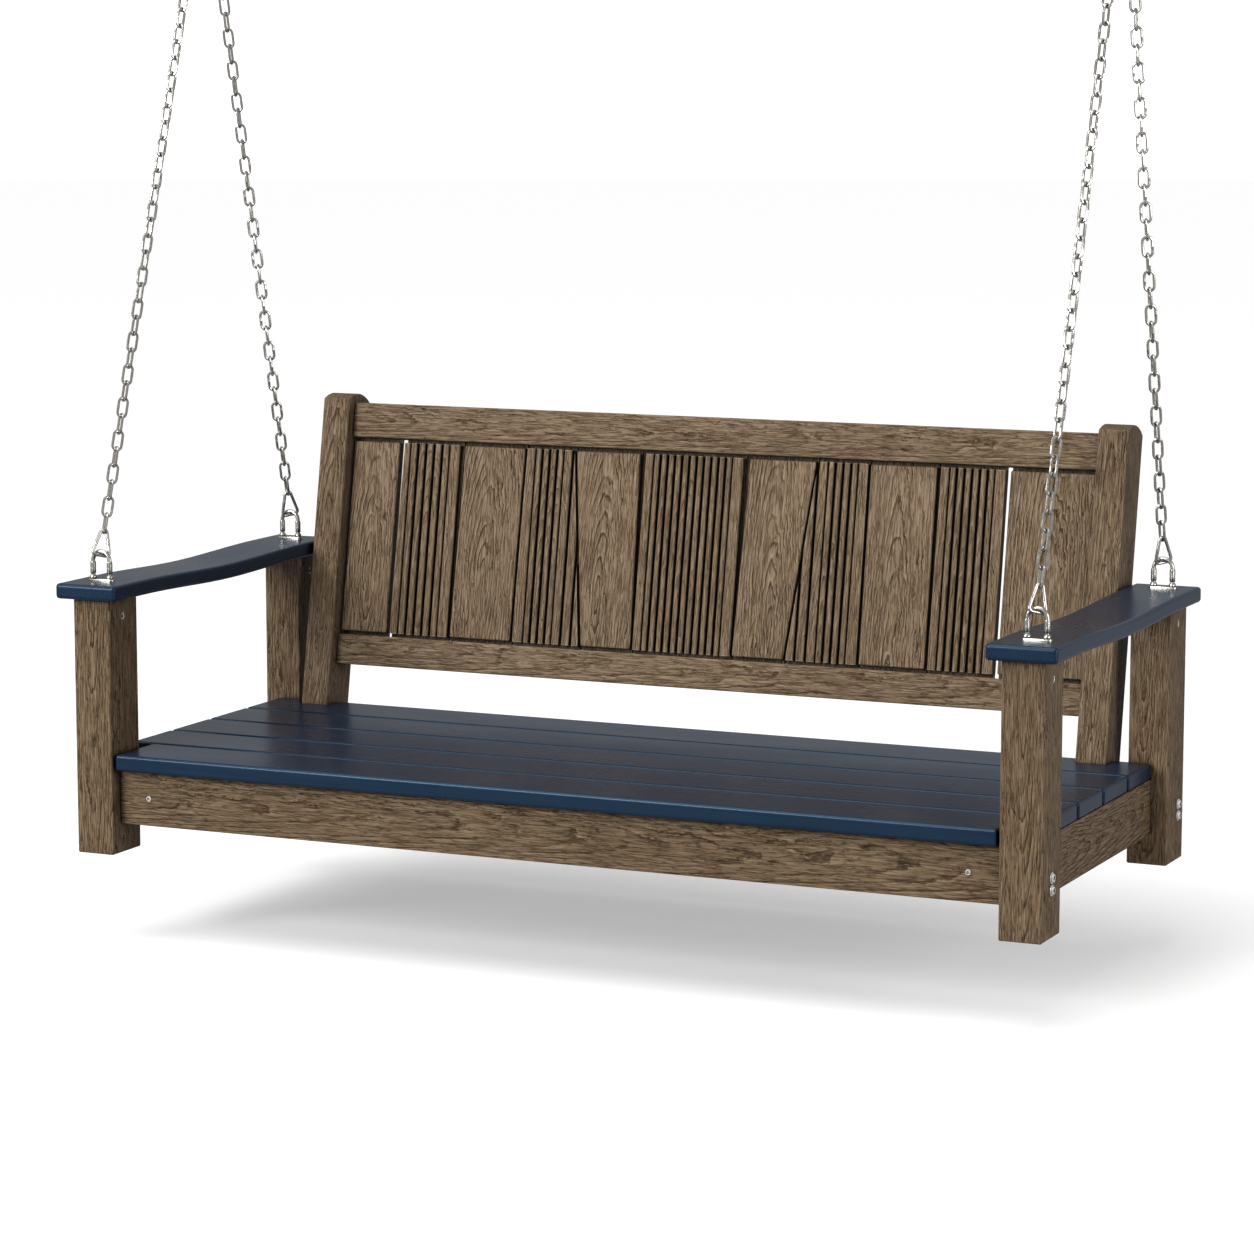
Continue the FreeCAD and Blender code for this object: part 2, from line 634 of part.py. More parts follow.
RING_Y, RING_Z = ring_centre()
EYE_Z = RING_Z + RING_RADIUS - RING_WIRE - LUG_RING_GAP + LUG_EYE
PIVOT_Z = EYE_Z + LUG_DROP
CEILING_Z = PIVOT_Z + PIVOT_DROP


def make_u_bolt(x, y):
    half = U_BOLT_LEGS / 2
    foot = DOWEL_Z - LEG_PAST_DOWEL
    corners = [Vector(x - half, y, foot), Vector(x - half, y, BOW_Z),
               Vector(x + half, y, BOW_Z), Vector(x + half, y, foot)]
    return bent_rod(corners, half, U_BOLT_WIRE, False)


def make_sleeve(x, y):
    start = Vector(x, y, ARM_TOP + SLEEVE_RISE)
    inner = U_BOLT_WIRE + BOLT_HOLE_GAP
    return rod(start, Z_AXIS, SLEEVE_LENGTH, inner + SLEEVE_WALL).cut(
        rod(start, Z_AXIS, SLEEVE_LENGTH, inner))


def make_strap(x, y):
    """Flat strap between the feet of a U-bolt, with round ends."""
    half = U_BOLT_LEGS / 2
    reach = half + STRAP_OVERHANG - STRAP_WIDTH / 2
    strap = block((x - reach, x + reach), (y - STRAP_WIDTH / 2, y + STRAP_WIDTH / 2),
                  (ARM_TOP, ARM_TOP + STRAP_THICKNESS))
    ends = [rod(Vector(x + shift, y, ARM_TOP), Z_AXIS, STRAP_THICKNESS, STRAP_WIDTH / 2)
            for shift in (-reach, reach)]
    holes = [rod(Vector(x + shift, y, ARM_TOP), Z_AXIS, STRAP_THICKNESS,
                 U_BOLT_WIRE + BOLT_HOLE_GAP) for shift in (-half, half)]
    return drilled(strap.multiFuse(ends).removeSplitter(), holes)


def make_foot_nut(x, y):
    """Domed nut on one leg of a U-bolt."""
    base = ARM_TOP + STRAP_THICKNESS
    dome = Part.makeSphere(FOOT_NUT_RADIUS, Vector(x, y, base + FOOT_NUT_HEIGHT / 3))
    body = dome.common(block((x - FOOT_NUT_RADIUS, x + FOOT_NUT_RADIUS),
                             (y - FOOT_NUT_RADIUS, y + FOOT_NUT_RADIUS),
                             (base, base + FOOT_NUT_HEIGHT)))
    return body.cut(rod(Vector(x, y, base), Z_AXIS, FOOT_NUT_HEIGHT, U_BOLT_WIRE + BOLT_HOLE_GAP))


def make_cross_dowel(side, y):
    """Cross dowel through the top of a post, tapped for both legs of its U-bolt."""
    length = POST_WIDTH - 2 * DOWEL_END_GAP
    dowel = rod(Vector(side * (POST_INNER + DOWEL_END_GAP), y, DOWEL_Z), X_AXIS * side, length,
                DOWEL_RADIUS)
    return drilled(dowel, u_bolt_leg_holes(side, y, DOWEL_Z - DOWEL_RADIUS, DOWEL_Z + DOWEL_RADIUS))


def make_chain(x, y, links):
    """Triangular link on a U-bolt bow, and the straight chain from it to the ring."""
    bow = Vector(x, y, BOW_Z)
    along = (Vector(x, RING_Y, RING_Z) - bow).normalize()
    base = U_BOLT_WIRE + DELTA_WIRE + LINK_GAP
    half = DELTA_WIDTH / 2
    triangle = [Vector(-half, 0, 0), Vector(half, 0, 0), Vector(0, 0, DELTA_HEIGHT)]
    delta = placed(bent_rod(triangle, DELTA_BEND, DELTA_WIRE, True), bow - along * base, along,
                   DELTA_TURN)
    radius = LINK_WIDTH / 2 - LINK_WIRE
    length = LINK_PITCH + 2 * LINK_WIRE + LINK_GAP
    oval = [Vector(-radius, 0, 0), Vector(radius, 0, 0), Vector(radius, 0, length),
            Vector(-radius, 0, length)]
    link_shape = bent_rod(oval, radius, LINK_WIRE, True)
    whole = DELTA_TURN + 90.0 * links
    spare = 180.0 * round(whole / 180.0) - whole
    solids = []
    for index in range(links):
        turn = DELTA_TURN + 90.0 * (index + 1) + spare * index / (links - 1)
        start = bow + along * (first_link() + LINK_PITCH * index)
        solids.append(placed(link_shape, start, along, turn))
    return delta, solids


def make_ring(x):
    return Part.makeTorus(RING_RADIUS, RING_WIRE, Vector(x, RING_Y, RING_Z), X_AXIS)


def make_lug(x):
    """Swivel lug: barrel on the pivot, flat tail with an eye for the ring."""
    half = LUG_LENGTH / 2
    barrel = rod(Vector(x - half, RING_Y, PIVOT_Z), X_AXIS, LUG_LENGTH, LUG_BARREL)
    y_range = (RING_Y - LUG_THICKNESS / 2, RING_Y + LUG_THICKNESS / 2)
    tail = block((x - half, x + half), y_range, (EYE_Z, PIVOT_Z))
    end = rod(Vector(x, y_range[0], EYE_Z), Y_AXIS, LUG_THICKNESS, half)
    eye = rod(Vector(x, y_range[0], EYE_Z), Y_AXIS, LUG_THICKNESS, LUG_EYE)
    bore = rod(Vector(x - half, RING_Y, PIVOT_Z), X_AXIS, LUG_LENGTH,
               PIVOT_RADIUS + PIVOT_CLEARANCE + BUSH_WALL)
    return drilled(barrel.multiFuse([tail, end]).removeSplitter(), [eye, bore])


def make_bush(x):
    start = Vector(x - LUG_LENGTH / 2, RING_Y, PIVOT_Z)
    bore = PIVOT_RADIUS + PIVOT_CLEARANCE
    return rod(start, X_AXIS, LUG_LENGTH, bore + BUSH_WALL).cut(
        rod(start, X_AXIS, LUG_LENGTH, bore))


def ear_inner():
    return LUG_LENGTH / 2 + EAR_GAP


def make_bracket(x):
    """Ceiling plate with two screw holes and two ears for the pivot bolt."""
    plate = block((x - PLATE_WIDTH / 2, x + PLATE_WIDTH / 2),
                  (RING_Y - PLATE_LENGTH / 2, RING_Y + PLATE_LENGTH / 2),
                  (CEILING_Z - PLATE_THICKNESS, CEILING_Z))
    uprights = [edge for edge in plate.Edges if edge.BoundBox.ZLength > PLATE_THICKNESS / 2]
    plate = plate.makeFillet(PLATE_CORNER, uprights)
    pieces = []
    for start in (x - ear_inner() - EAR_THICKNESS, x + ear_inner()):
        pieces.append(block((start, start + EAR_THICKNESS), (RING_Y - EAR_RADIUS, RING_Y + EAR_RADIUS),
                            (PIVOT_Z, CEILING_Z - PLATE_THICKNESS)))
        pieces.append(rod(Vector(start, RING_Y, PIVOT_Z), X_AXIS, EAR_THICKNESS, EAR_RADIUS))
    reach = ear_inner() + EAR_THICKNESS
    holes = [rod(Vector(x - reach, RING_Y, PIVOT_Z), X_AXIS, 2 * reach, PIVOT_RADIUS + BOLT_HOLE_GAP)]
    for shift in (-CEILING_HOLE_PITCH / 2, CEILING_HOLE_PITCH / 2):
        holes.append(rod(Vector(x, RING_Y + shift, CEILING_Z - PLATE_THICKNESS), Z_AXIS,
                         PLATE_THICKNESS, CEILING_HOLE))
    return drilled(plate.multiFuse(pieces).removeSplitter(), holes)


def make_pivot_bolt(x):
    reach = ear_inner() + EAR_THICKNESS
    shank = rod(Vector(x - reach - NUT_HEIGHT - BOLT_PAST_NUT, RING_Y, PIVOT_Z), X_AXIS,
                2 * reach + NUT_HEIGHT + BOLT_PAST_NUT, PIVOT_RADIUS)
    return shank.fuse(hexagon(Vector(x + reach, RING_Y, PIVOT_Z), X_AXIS, HEAD_HEIGHT))


def make_pivot_nut(x):
    start = Vector(x - ear_inner() - EAR_THICKNESS, RING_Y, PIVOT_Z)
    hole = rod(start, X_AXIS * -1, NUT_HEIGHT, PIVOT_RADIUS + PIVOT_CLEARANCE)
    return hexagon(start, X_AXIS * -1, NUT_HEIGHT).cut(hole)


# ---- screws and bolts ----
def headed(start, direction, length, shank, head, height):
    """Fastener whose head sits on start and whose shank runs along direction."""
    return rod(start, direction, length, shank).fuse(
        rod(start - direction * height, direction, height, head))


def make_post_bolts():
    bolts = []
    washers = []
    for _, side in SIDES:
        for place, _ in HANG_YS:
            for z in POST_BOLT_ZS:
                inward = X_AXIS * -side
                face = Vector(side * POST_OUTER, apron_bolt_y(place), z)
                seat = face - inward * WASHER_THICKNESS
                washers.append(rod(seat, inward, WASHER_THICKNESS, WASHER_RADIUS).cut(
                    rod(seat, inward, WASHER_THICKNESS, BOLT_HOLE)))
                bolts.append(headed(seat, inward, POST_WIDTH + BOLT_GRIP, BOLT_RADIUS,
                                    BOLT_HEAD_RADIUS, BOLT_HEAD_HEIGHT))
    return bolts, washers


def save(name, solids):
    """Write one node, moved so that the origin is the centre of the ceiling bolts."""
    shape = solids[0] if len(solids) == 1 else Part.makeCompound(solids)
    moved = shape.copy()
    moved.translate(Vector(0, -RING_Y, -CEILING_Z))
    moved.exportStep("parts/" + name + ".step")


def save_seat():
    for side_name, side in SIDES:
        for place, hang_y in HANG_YS:
            save(side_name + "_" + place + "_post", [make_post(side, place, hang_y)])
        save(side_name + "_side_apron", [make_side_apron(side)])
        save(side_name + "_cleat", [make_cleat(side)])
        joist = drilled(make_end_joist(side), slat_screw_holes() + [
            rod(Vector(side * END_JOIST_X, FRONT_APRON_Y, APRON_MID_Z), Y_AXIS,
                APRON_SCREW_LENGTH, SCREW_HOLE)])
        save(side_name + "_end_joist", [joist])
        save(side_name + "_armrest", [make_arm(side)])
    for place, _ in HANG_YS:
        save(place + "_apron", [make_apron(place)])
    for index, x in enumerate(joist_xs()):
        save("seat_joist_" + str(index + 1), [drilled(make_mid_joist(x), slat_screw_holes())])
    for index, y in enumerate(slat_fronts()):
        save("seat_slat_" + str(index + 1), [make_slat(index, y)])


def save_back():
    for side_name, side in SIDES:
        save(side_name + "_back_stile", [make_stile(side)])
    save("top_back_rail", [raked(top_rail())])
    save("bottom_back_rail", [raked(bottom_rail())])
    for name, ribs, sides, lap in board_corners():
        board = make_reeded_board(sides, lap, ribs) if ribs else make_plank(sides, lap)
        save(name, [raked(board)])


def save_suspension():
    deltas = []
    bolts = []
    sleeves = []
    straps = []
    nuts = []
    dowels = []
    for side_name, side in SIDES:
        x = side * HANG_X
        for (place, y), links in zip(HANG_YS, (FRONT_LINKS, REAR_LINKS)):
            delta, chain = make_chain(x, y, links)
            save(side_name + "_" + place + "_chain", chain)
            deltas.append(delta)
            bolts.append(make_u_bolt(x, y))
            straps.append(make_strap(x, y))
            dowels.append(make_cross_dowel(side, y))
            for shift in (-U_BOLT_LEGS / 2, U_BOLT_LEGS / 2):
                sleeves.append(make_sleeve(x + shift, y))
                nuts.append(make_foot_nut(x + shift, y))
        save(side_name + "_swivel_lug", [make_lug(x)])
        save(side_name + "_ceiling_bracket", [make_bracket(x)])
    save("triangle_links", deltas)
    save("u_bolts", bolts)
    save("u_bolt_sleeves", sleeves)
    save("u_bolt_straps", straps)
    save("u_bolt_nuts", nuts)
    save("cross_dowels", dowels)
    xs = [side * HANG_X for _, side in SIDES]
    save("chain_rings", [make_ring(x) for x in xs])
    save("pivot_bushes", [make_bush(x) for x in xs])
    save("pivot_bolts", [make_pivot_bolt(x) for x in xs])
    save("pivot_nuts", [make_pivot_nut(x) for x in xs])


def save_fasteners():
    bolts, washers = make_post_bolts()
    save("post_bolts", bolts)
    save("post_bolt_washers", washers)
    stile_bolts = []
    apron_screws = []
    cleat_screws = []
    for _, side in SIDES:
        for start in stile_bolt_starts(side):
            stile_bolts.append(headed(start, X_AXIS * side, STILE_WIDTH + STILE_BOLT_GRIP,
                                      BOLT_RADIUS, BOLT_HEAD_RADIUS, BOLT_HEAD_HEIGHT))
        apron_screws.append(headed(Vector(side * END_JOIST_X, FRONT_APRON_Y, APRON_MID_Z), Y_AXIS,
                                   APRON_SCREW_LENGTH, SCREW_RADIUS, SCREW_HEAD_RADIUS,
                                   SCREW_HEAD_HEIGHT))
        for y in cleat_screw_ys():
            cleat_screws.append(headed(Vector(side * STILE_OUTER, y, APRON_MID_Z), X_AXIS * side,
                                       CLEAT_SCREW_LENGTH, SCREW_RADIUS, SCREW_HEAD_RADIUS,
                                       SCREW_HEAD_HEIGHT))
    save("stile_bolts", stile_bolts)
    save("apron_screws", apron_screws)
    save("cleat_screws", cleat_screws)
    save("slat_screws", [headed(point, Z_AXIS, SLAT_SCREW_LENGTH, SCREW_RADIUS, SCREW_HEAD_RADIUS,
                                SCREW_HEAD_HEIGHT) for point in slat_screw_points()])


save_seat()
save_back()
save_suspension()
save_fasteners()
print("ring at", round(RING_Y, 3), round(RING_Z, 3), "pivot", round(PIVOT_Z, 3),
      "ceiling", round(CEILING_Z, 3))
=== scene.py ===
import json
import logging
import math
from collections.abc import Mapping, Sequence
from dataclasses import dataclass, field
from enum import Enum
from typing import Any, Union

import bmesh
import bpy
from mathutils import Matrix, Vector


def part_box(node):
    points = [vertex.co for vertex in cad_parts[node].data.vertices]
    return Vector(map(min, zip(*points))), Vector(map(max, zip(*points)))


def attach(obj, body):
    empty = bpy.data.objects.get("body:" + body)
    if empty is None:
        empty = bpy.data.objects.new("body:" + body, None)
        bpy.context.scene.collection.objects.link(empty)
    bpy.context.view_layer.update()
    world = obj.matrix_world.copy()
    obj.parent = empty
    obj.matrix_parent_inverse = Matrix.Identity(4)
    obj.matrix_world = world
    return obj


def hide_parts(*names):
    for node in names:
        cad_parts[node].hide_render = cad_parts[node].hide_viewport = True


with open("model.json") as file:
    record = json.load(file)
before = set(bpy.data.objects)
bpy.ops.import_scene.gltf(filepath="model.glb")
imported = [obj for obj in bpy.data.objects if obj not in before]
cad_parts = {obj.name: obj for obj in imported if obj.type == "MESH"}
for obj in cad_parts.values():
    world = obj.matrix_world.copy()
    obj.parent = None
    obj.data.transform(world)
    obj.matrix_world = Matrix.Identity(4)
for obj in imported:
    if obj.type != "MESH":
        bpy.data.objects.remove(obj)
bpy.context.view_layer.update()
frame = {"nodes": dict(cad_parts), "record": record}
MM = 0.001
FULL_BEND = 0.999  # share of a half width that a round end takes, short of a full meeting
X_AXIS = Vector((1, 0, 0))
Y_AXIS = Vector((0, 1, 0))
Z_AXIS = Vector((0, 0, 1))
log = logging.getLogger("porch_swing")

Colour = tuple[float, float, float]
Place = tuple[float, float, float]
Number = Union["Signal", float]


# ---- shader building ----
class Signal:
    """A number carried by a node socket; arithmetic on it adds Math nodes."""

    def __init__(self, graph: "Graph", socket: bpy.types.NodeSocket) -> None:
        """Wrap a socket.

        Args:
            graph: The node graph that the socket belongs to.
            socket: The output socket that gives the number.
        """
        self.graph = graph
        self.socket = socket

    def _math(self, operation: str, *values: Number, clamp: bool = False) -> "Signal":
        """Add one Math node and return its result."""
        node = self.graph.node("ShaderNodeMath", {"operation": operation, "use_clamp": clamp},
                               dict(enumerate(values)))
        return Signal(self.graph, node.outputs[0])

    def __add__(self, other: Number) -> "Signal":
        """Return the sum."""
        return self._math("ADD", self, other)

    def __radd__(self, other: Number) -> "Signal":
        """Return the sum, reflected."""
        return self._math("ADD", other, self)

    def __sub__(self, other: Number) -> "Signal":
        """Return the difference."""
        return self._math("SUBTRACT", self, other)

    def __rsub__(self, other: Number) -> "Signal":
        """Return the difference, reflected."""
        return self._math("SUBTRACT", other, self)

    def __mul__(self, other: Number) -> "Signal":
        """Return the product."""
        return self._math("MULTIPLY", self, other)

    def __rmul__(self, other: Number) -> "Signal":
        """Return the product, reflected."""
        return self._math("MULTIPLY", other, self)

    def __truediv__(self, other: Number) -> "Signal":
        """Return the quotient."""
        return self._math("DIVIDE", self, other)

    def __pow__(self, other: Number) -> "Signal":
        """Return the power."""
        return self._math("POWER", self, other)

    def fraction(self) -> "Signal":
        """Return the part after the decimal point."""
        return self._math("FRACT", self)

    def absolute(self) -> "Signal":
        """Return the size without its sign."""
        return self._math("ABSOLUTE", self)

    def clamped(self) -> "Signal":
        """Return the value held between 0 and 1."""
        return self._math("ADD", self, 0.0, clamp=True)

    def step(self, low: float, high: float) -> "Signal":
        """Return a smooth rise from 0 at low to 1 at high.

        Args:
            low: Value that gives 0.
            high: Value that gives 1.

        Returns:
            The eased value.
        """
        node = self.graph.node("ShaderNodeMapRange", {"interpolation_type": "SMOOTHSTEP"},
                               {"Value": self, "From Min": low, "From Max": high})
        return Signal(self.graph, node.outputs[0])


class Graph:
    """Node graph of one material."""

    def __init__(self, name: str) -> None:
        """Start a material with an empty graph.

        Args:
            name: Name of the material.
        """
        self.material = bpy.data.materials.new(name)
        self.material.use_nodes = True
        self.material.node_tree.nodes.clear()

    def node(self, kind: str, settings: Mapping[str, Any] | None = None,
             values: Mapping[Any, Any] | None = None) -> bpy.types.Node:
        """Add a node, apply its settings and then fill its sockets.

        Args:
            kind: Type of the node.
            settings: Its properties; "stops" are the positions and colours of a ramp.
            values: Values or links by socket name or number.

        Returns:
            The new node.
        """
        tree = self.material.node_tree
        made = tree.nodes.new(kind)
        for key, value in (settings or {}).items():
            if key == "stops":
                elements = made.color_ramp.elements
                while len(elements) < len(value):
                    elements.new(0.5)
                for element, (position, colour) in zip(elements, value):
                    element.position = position
                    element.color = (*colour, 1.0)
            else:
                setattr(made, key, value)
        for key, value in (values or {}).items():
            source = value.socket if isinstance(value, Signal) else value
            if isinstance(source, bpy.types.NodeSocket):
                tree.links.new(source, made.inputs[key])
            else:
                made.inputs[key].default_value = source
        return made

    def place(self, axes: Matrix, centre: Vector) -> bpy.types.NodeSocket:
        """Return the object point in a piece's own axes.

        Args:
            axes: Turn from the piece's own axes to the shared frame.
            centre: Point that becomes the zero of the pattern.

        Returns:
            The vector socket.
        """
        point = self.node("ShaderNodeTexCoord").outputs["Object"]
        return self.node("ShaderNodeMapping", {"vector_type": "TEXTURE"},
                         {"Vector": point, "Location": centre,
                          "Rotation": axes.to_euler()}).outputs["Vector"]

    def scaled(self, vector: bpy.types.NodeSocket, scale: Sequence[float]) -> bpy.types.NodeSocket:
        """Return a vector multiplied by three numbers."""
        return self.node("ShaderNodeVectorMath", {"operation": "MULTIPLY"},
                         {0: vector, 1: scale}).outputs[0]

    def noise(self, vector: bpy.types.NodeSocket, scale: Sequence[float], seed: float,
              detail: float = 2.0, rough: float = 0.5, distort: float = 0.0) -> Signal:
        """Return noise of a stretched scale.

        Args:
            vector: Point to read it at.
            scale: Cells per metre along the three axes.
            seed: Picks the pattern.
            detail: Number of finer layers.
            rough: Strength of the finer layers.
            distort: How much the pattern is stirred.

        Returns:
            The noise, about 0 to 1.
        """
        made = self.node("ShaderNodeTexNoise", {"noise_dimensions": "4D"},
                         {"Vector": self.scaled(vector, scale), "W": seed, "Scale": 1.0,
                          "Detail": detail, "Roughness": rough, "Distortion": distort})
        return Signal(self, made.outputs[0])

    def split(self, vector: bpy.types.NodeSocket) -> tuple[Signal, Signal, Signal]:
        """Return the three numbers of a vector."""
        made = self.node("ShaderNodeSeparateXYZ", None, {0: vector})
        return tuple(Signal(self, socket) for socket in made.outputs)

    def ramp(self, value: Signal, stops: Sequence[tuple[float, Colour]]) -> bpy.types.NodeSocket:
        """Return the colour that a ramp gives for a value."""
        return self.node("ShaderNodeValToRGB", {"stops": stops}, {0: value}).outputs[0]

    def mix(self, factor: Number, first: Any, second: Any) -> bpy.types.NodeSocket:
        """Return a blend of two colours."""
        made = self.node("ShaderNodeMix", {"data_type": "RGBA"}, {0: factor, 6: first, 7: second})
        return made.outputs[2]

    def edge(self, radius: float) -> Signal:
        """Return how near a point is to a sharp turn of the surface.

        Args:
            radius: Reach of the search, in metres.

        Returns:
            0 on flat ground, rising towards an edge.
        """
        rounded = self.node("ShaderNodeBevel", {"samples": 4}, {"Radius": radius}).outputs[0]
        plain = self.node("ShaderNodeNewGeometry").outputs["Normal"]
        made = self.node("ShaderNodeVectorMath", {"operation": "DOT_PRODUCT"},
                         {0: rounded, 1: plain})
        return 1.0 - Signal(self, made.outputs["Value"])

    def open_sky(self, reach: float) -> Signal:
        """Return how open the surroundings of a point are.

        Args:
            reach: Distance searched, in metres.

        Returns:
            1 in the open, falling in grooves and corners.
        """
        made = self.node("ShaderNodeAmbientOcclusion", {"samples": 6, "only_local": False},
                         {"Distance": reach})
        return Signal(self, made.outputs["AO"])

    def finish(self, values: Mapping[str, Any], height: Signal | None = None,
               depth: float = 0.0) -> bpy.types.Material:
        """Add the surface shader and its bump.

        Args:
            values: Sockets of the surface shader.
            height: Relief from 0 to 1, if there is any.
            depth: Height of the relief in metres.

        Returns:
            The material.
        """
        sockets = dict(values)
        if height is not None:
            sockets["Normal"] = self.node("ShaderNodeBump", None,
                                          {"Strength": 1.0, "Distance": depth,
                                           "Height": height}).outputs[0]
        shader = self.node("ShaderNodeBsdfPrincipled", None, sockets)
        self.node("ShaderNodeOutputMaterial", None, {"Surface": shader.outputs[0]})
        return self.material


class Grain(Enum):
    """Which way the grain of a board runs."""

    LENGTHWISE = "left to right"
    DEPTHWISE = "front to back"
    UPRIGHT = "up"
    RAKED = "up the lean of the back"

    def axes(self, rake: float) -> Matrix:
        """Return the board's own axes, with Z along the grain and Y through the face.

        Args:
            rake: Lean of the back in radians.

        Returns:
            The turn from those axes to the shared frame.
        """
        along, across = {
            Grain.LENGTHWISE: (X_AXIS, Z_AXIS),
            Grain.DEPTHWISE: (Y_AXIS, Z_AXIS),
            Grain.UPRIGHT: (Z_AXIS, X_AXIS),
            Grain.RAKED: (Vector((0, math.sin(rake), math.cos(rake))), X_AXIS),
        }[self]
        return Matrix((across, along.cross(across), along)).transposed()


@dataclass(frozen=True)
class Figure:
    """How one kind of board is figured.

    The tone is how pale it is, the depth is how strong its rings are, the pitch is their
    distance, and the taper is how far they drift through the board along its length.
    """

    tone: float
    depth: float
    pitch: float
    taper: float


# ---- finishes ----
@dataclass(frozen=True)
class BrownLumber:
    """Embossed brown plastic lumber with a weathered oak figure."""

    # Colour of the painted shade in grooves, gaps and corners.
    painted_crevice_shade: Colour = (0.012, 0.007, 0.003)
    dark: Colour = (0.020, 0.011, 0.005)
    low: Colour = (0.062, 0.038, 0.019)
    middle: Colour = (0.150, 0.100, 0.057)
    light: Colour = (0.330, 0.245, 0.158)
    # Pale colour of the edges: partly wear and partly a painted highlight where light catches them.
    worn_and_highlit: Colour = (0.560, 0.450, 0.330)
    relief: float = 0.9 * MM

    def material(self, name: str, axes: Matrix, centre: Vector, seed: float,
                 figure: Figure) -> bpy.types.Material:
        """Make the lumber of one board.

        Args:
            name: Name of the material.
            axes: The board's own axes.
            centre: Middle of the board.
            seed: Picks the board's own figure.
            figure: How the board is figured.

        Returns:
            The material.
        """
        graph = Graph(name)
        point = graph.place(axes, centre)
        across, through, along = graph.split(point)
        sway = graph.noise(point, (9.0, 9.0, 3.0), seed, 2.0)
        ripple = graph.noise(point, (85.0, 85.0, 34.0), seed + 3.1, 3.0, 0.6)
        drift = (sway - 0.5) * 0.036 + (ripple - 0.5) * 0.0125
        taper = figure.taper * (1.0 + 0.4 * math.sin(seed * 2.3))
        side = across + drift
        depth = through + drift * 0.6 + along * taper + (0.030 + 0.012 * math.sin(seed * 5.1))
        turn = ((side * side + depth * depth) ** 0.5 / figure.pitch).fraction()
        broken = graph.noise(point, (40.0, 40.0, 12.0), seed + 2.6, 2.0).step(0.34, 0.58)
        groove = turn.step(0.62, 0.88) * (1.0 - turn.step(0.90, 1.0)) * broken
        # The pale band beside each ring is partly the wood's figure and partly a painted highlight
        # on the embossed ridge.
        highlit_ridge = (1.0 - turn.step(0.0, 0.35)) * broken
        veins = graph.noise(point, (260.0, 260.0, 17.0), seed + 7.7, 3.0, 0.6, 0.35)
        lines = 1.0 - (veins - 0.5).absolute().step(0.0, 0.045)
        fibres = graph.noise(point, (620.0, 620.0, 34.0), seed + 1.3, 3.0, 0.65)
        cloud = graph.noise(point, (10.0, 10.0, 3.0), seed + 9.2, 2.0)
        tone = (figure.tone + (fibres - 0.5) * 1.05 - lines * 0.30
                - groove * figure.depth + highlit_ridge * (figure.depth * 0.40)
                + (cloud - 0.5) * 0.20).clamped()
        wood = graph.ramp(tone, ((0.0, self.dark), (0.30, self.low), (0.60, self.middle),
                                 (1.0, self.light)))
        # Edges are lightened towards the pale edge colour: partly wear, partly a painted highlight
        # of light catching the rounded edges.
        edge = (graph.edge(2.6 * MM) * 4.0).clamped()
        rubbed_and_highlit = graph.mix(edge * 0.66, wood, (*self.worn_and_highlit, 1.0))
        # Painted shade: the colour darkens towards the near-black crevice colour where the
        # surroundings close in, in grooves, gaps and corners.
        shade = graph.open_sky(18.0 * MM).step(0.12, 0.92)
        colour = graph.mix(shade, (*self.painted_crevice_shade, 1.0), rubbed_and_highlit)
        height = fibres * 0.45 - lines * 0.40 - groove * (figure.depth * 1.6) + highlit_ridge * 0.2
        rough = 0.52 - (fibres - 0.5) * 0.25 + groove * 0.10
        return graph.finish({"Base Color": colour, "Roughness": rough,
                             "Specular IOR Level": 0.14}, height, self.relief)


@dataclass(frozen=True)
class NavyLumber:
    """Smooth satin navy plastic lumber with a faint drawn grain."""

    # Colour of the painted shade in the slat gaps and corners.
    painted_crevice_shade: Colour = (0.001, 0.002, 0.004)
    dark: Colour = (0.0046, 0.0130, 0.0300)
    light: Colour = (0.0085, 0.0220, 0.0470)
    sheen: Colour = (0.48, 0.74, 1.00)
    # Paler tint of the edges: a painted highlight along the eased edges, also taken by the faint
    # scuffs.
    edge_tint: Colour = (0.060, 0.095, 0.140)

    def material(self, name: str, axes: Matrix, centre: Vector, seed: float) -> bpy.types.Material:
        """Make the lumber of one board.

        Args:
            name: Name of the material.
            axes: The board's own axes.
            centre: Middle of the board.
            seed: Picks the board's own marks.

        Returns:
            The material.
        """
        graph = Graph(name)
        point = graph.place(axes, centre)
        drawn = graph.noise(point, (240.0, 240.0, 6.0), seed, 3.0, 0.6)
        cloud = graph.noise(point, (12.0, 12.0, 4.0), seed + 2.2, 3.0)
        pebble = graph.noise(point, (500.0, 500.0, 380.0), seed + 4.4, 2.0)
        scuff = graph.noise(point, (650.0, 650.0, 14.0), seed + 6.1, 1.0).step(0.70, 0.76)
        tone = (0.5 + (drawn - 0.5) * 0.9 + (cloud - 0.5) * 0.9).clamped()
        # Painted highlight: edges are tinted paler, as if light caught them; the faint scuffs take
        # the same tint as real wear.
        edge = (graph.edge(1.6 * MM) * 2.2).clamped()
        body = graph.mix(tone, (*self.dark, 1.0), (*self.light, 1.0))
        worn_and_highlit = graph.mix((edge * 0.30 + scuff * 0.05).clamped(), body, (*self.edge_tint, 1.0))
        # Painted shade: the colour darkens towards the near-black crevice colour in the slat gaps,
        # in corners and next to the posts.
        shade = graph.open_sky(22.0 * MM).step(0.62, 0.99)
        colour = graph.mix(shade, (*self.painted_crevice_shade, 1.0), worn_and_highlit)
        rough = 0.29 + (cloud - 0.5) * 0.14 + (drawn - 0.5) * 0.10 + scuff * 0.12
        return graph.finish({"Base Color": colour, "Roughness": rough,
                             "Specular Tint": (*self.sheen, 1.0), "Specular IOR Level": 0.36},
                            pebble * 0.3 + drawn * 0.7, 0.03 * MM)


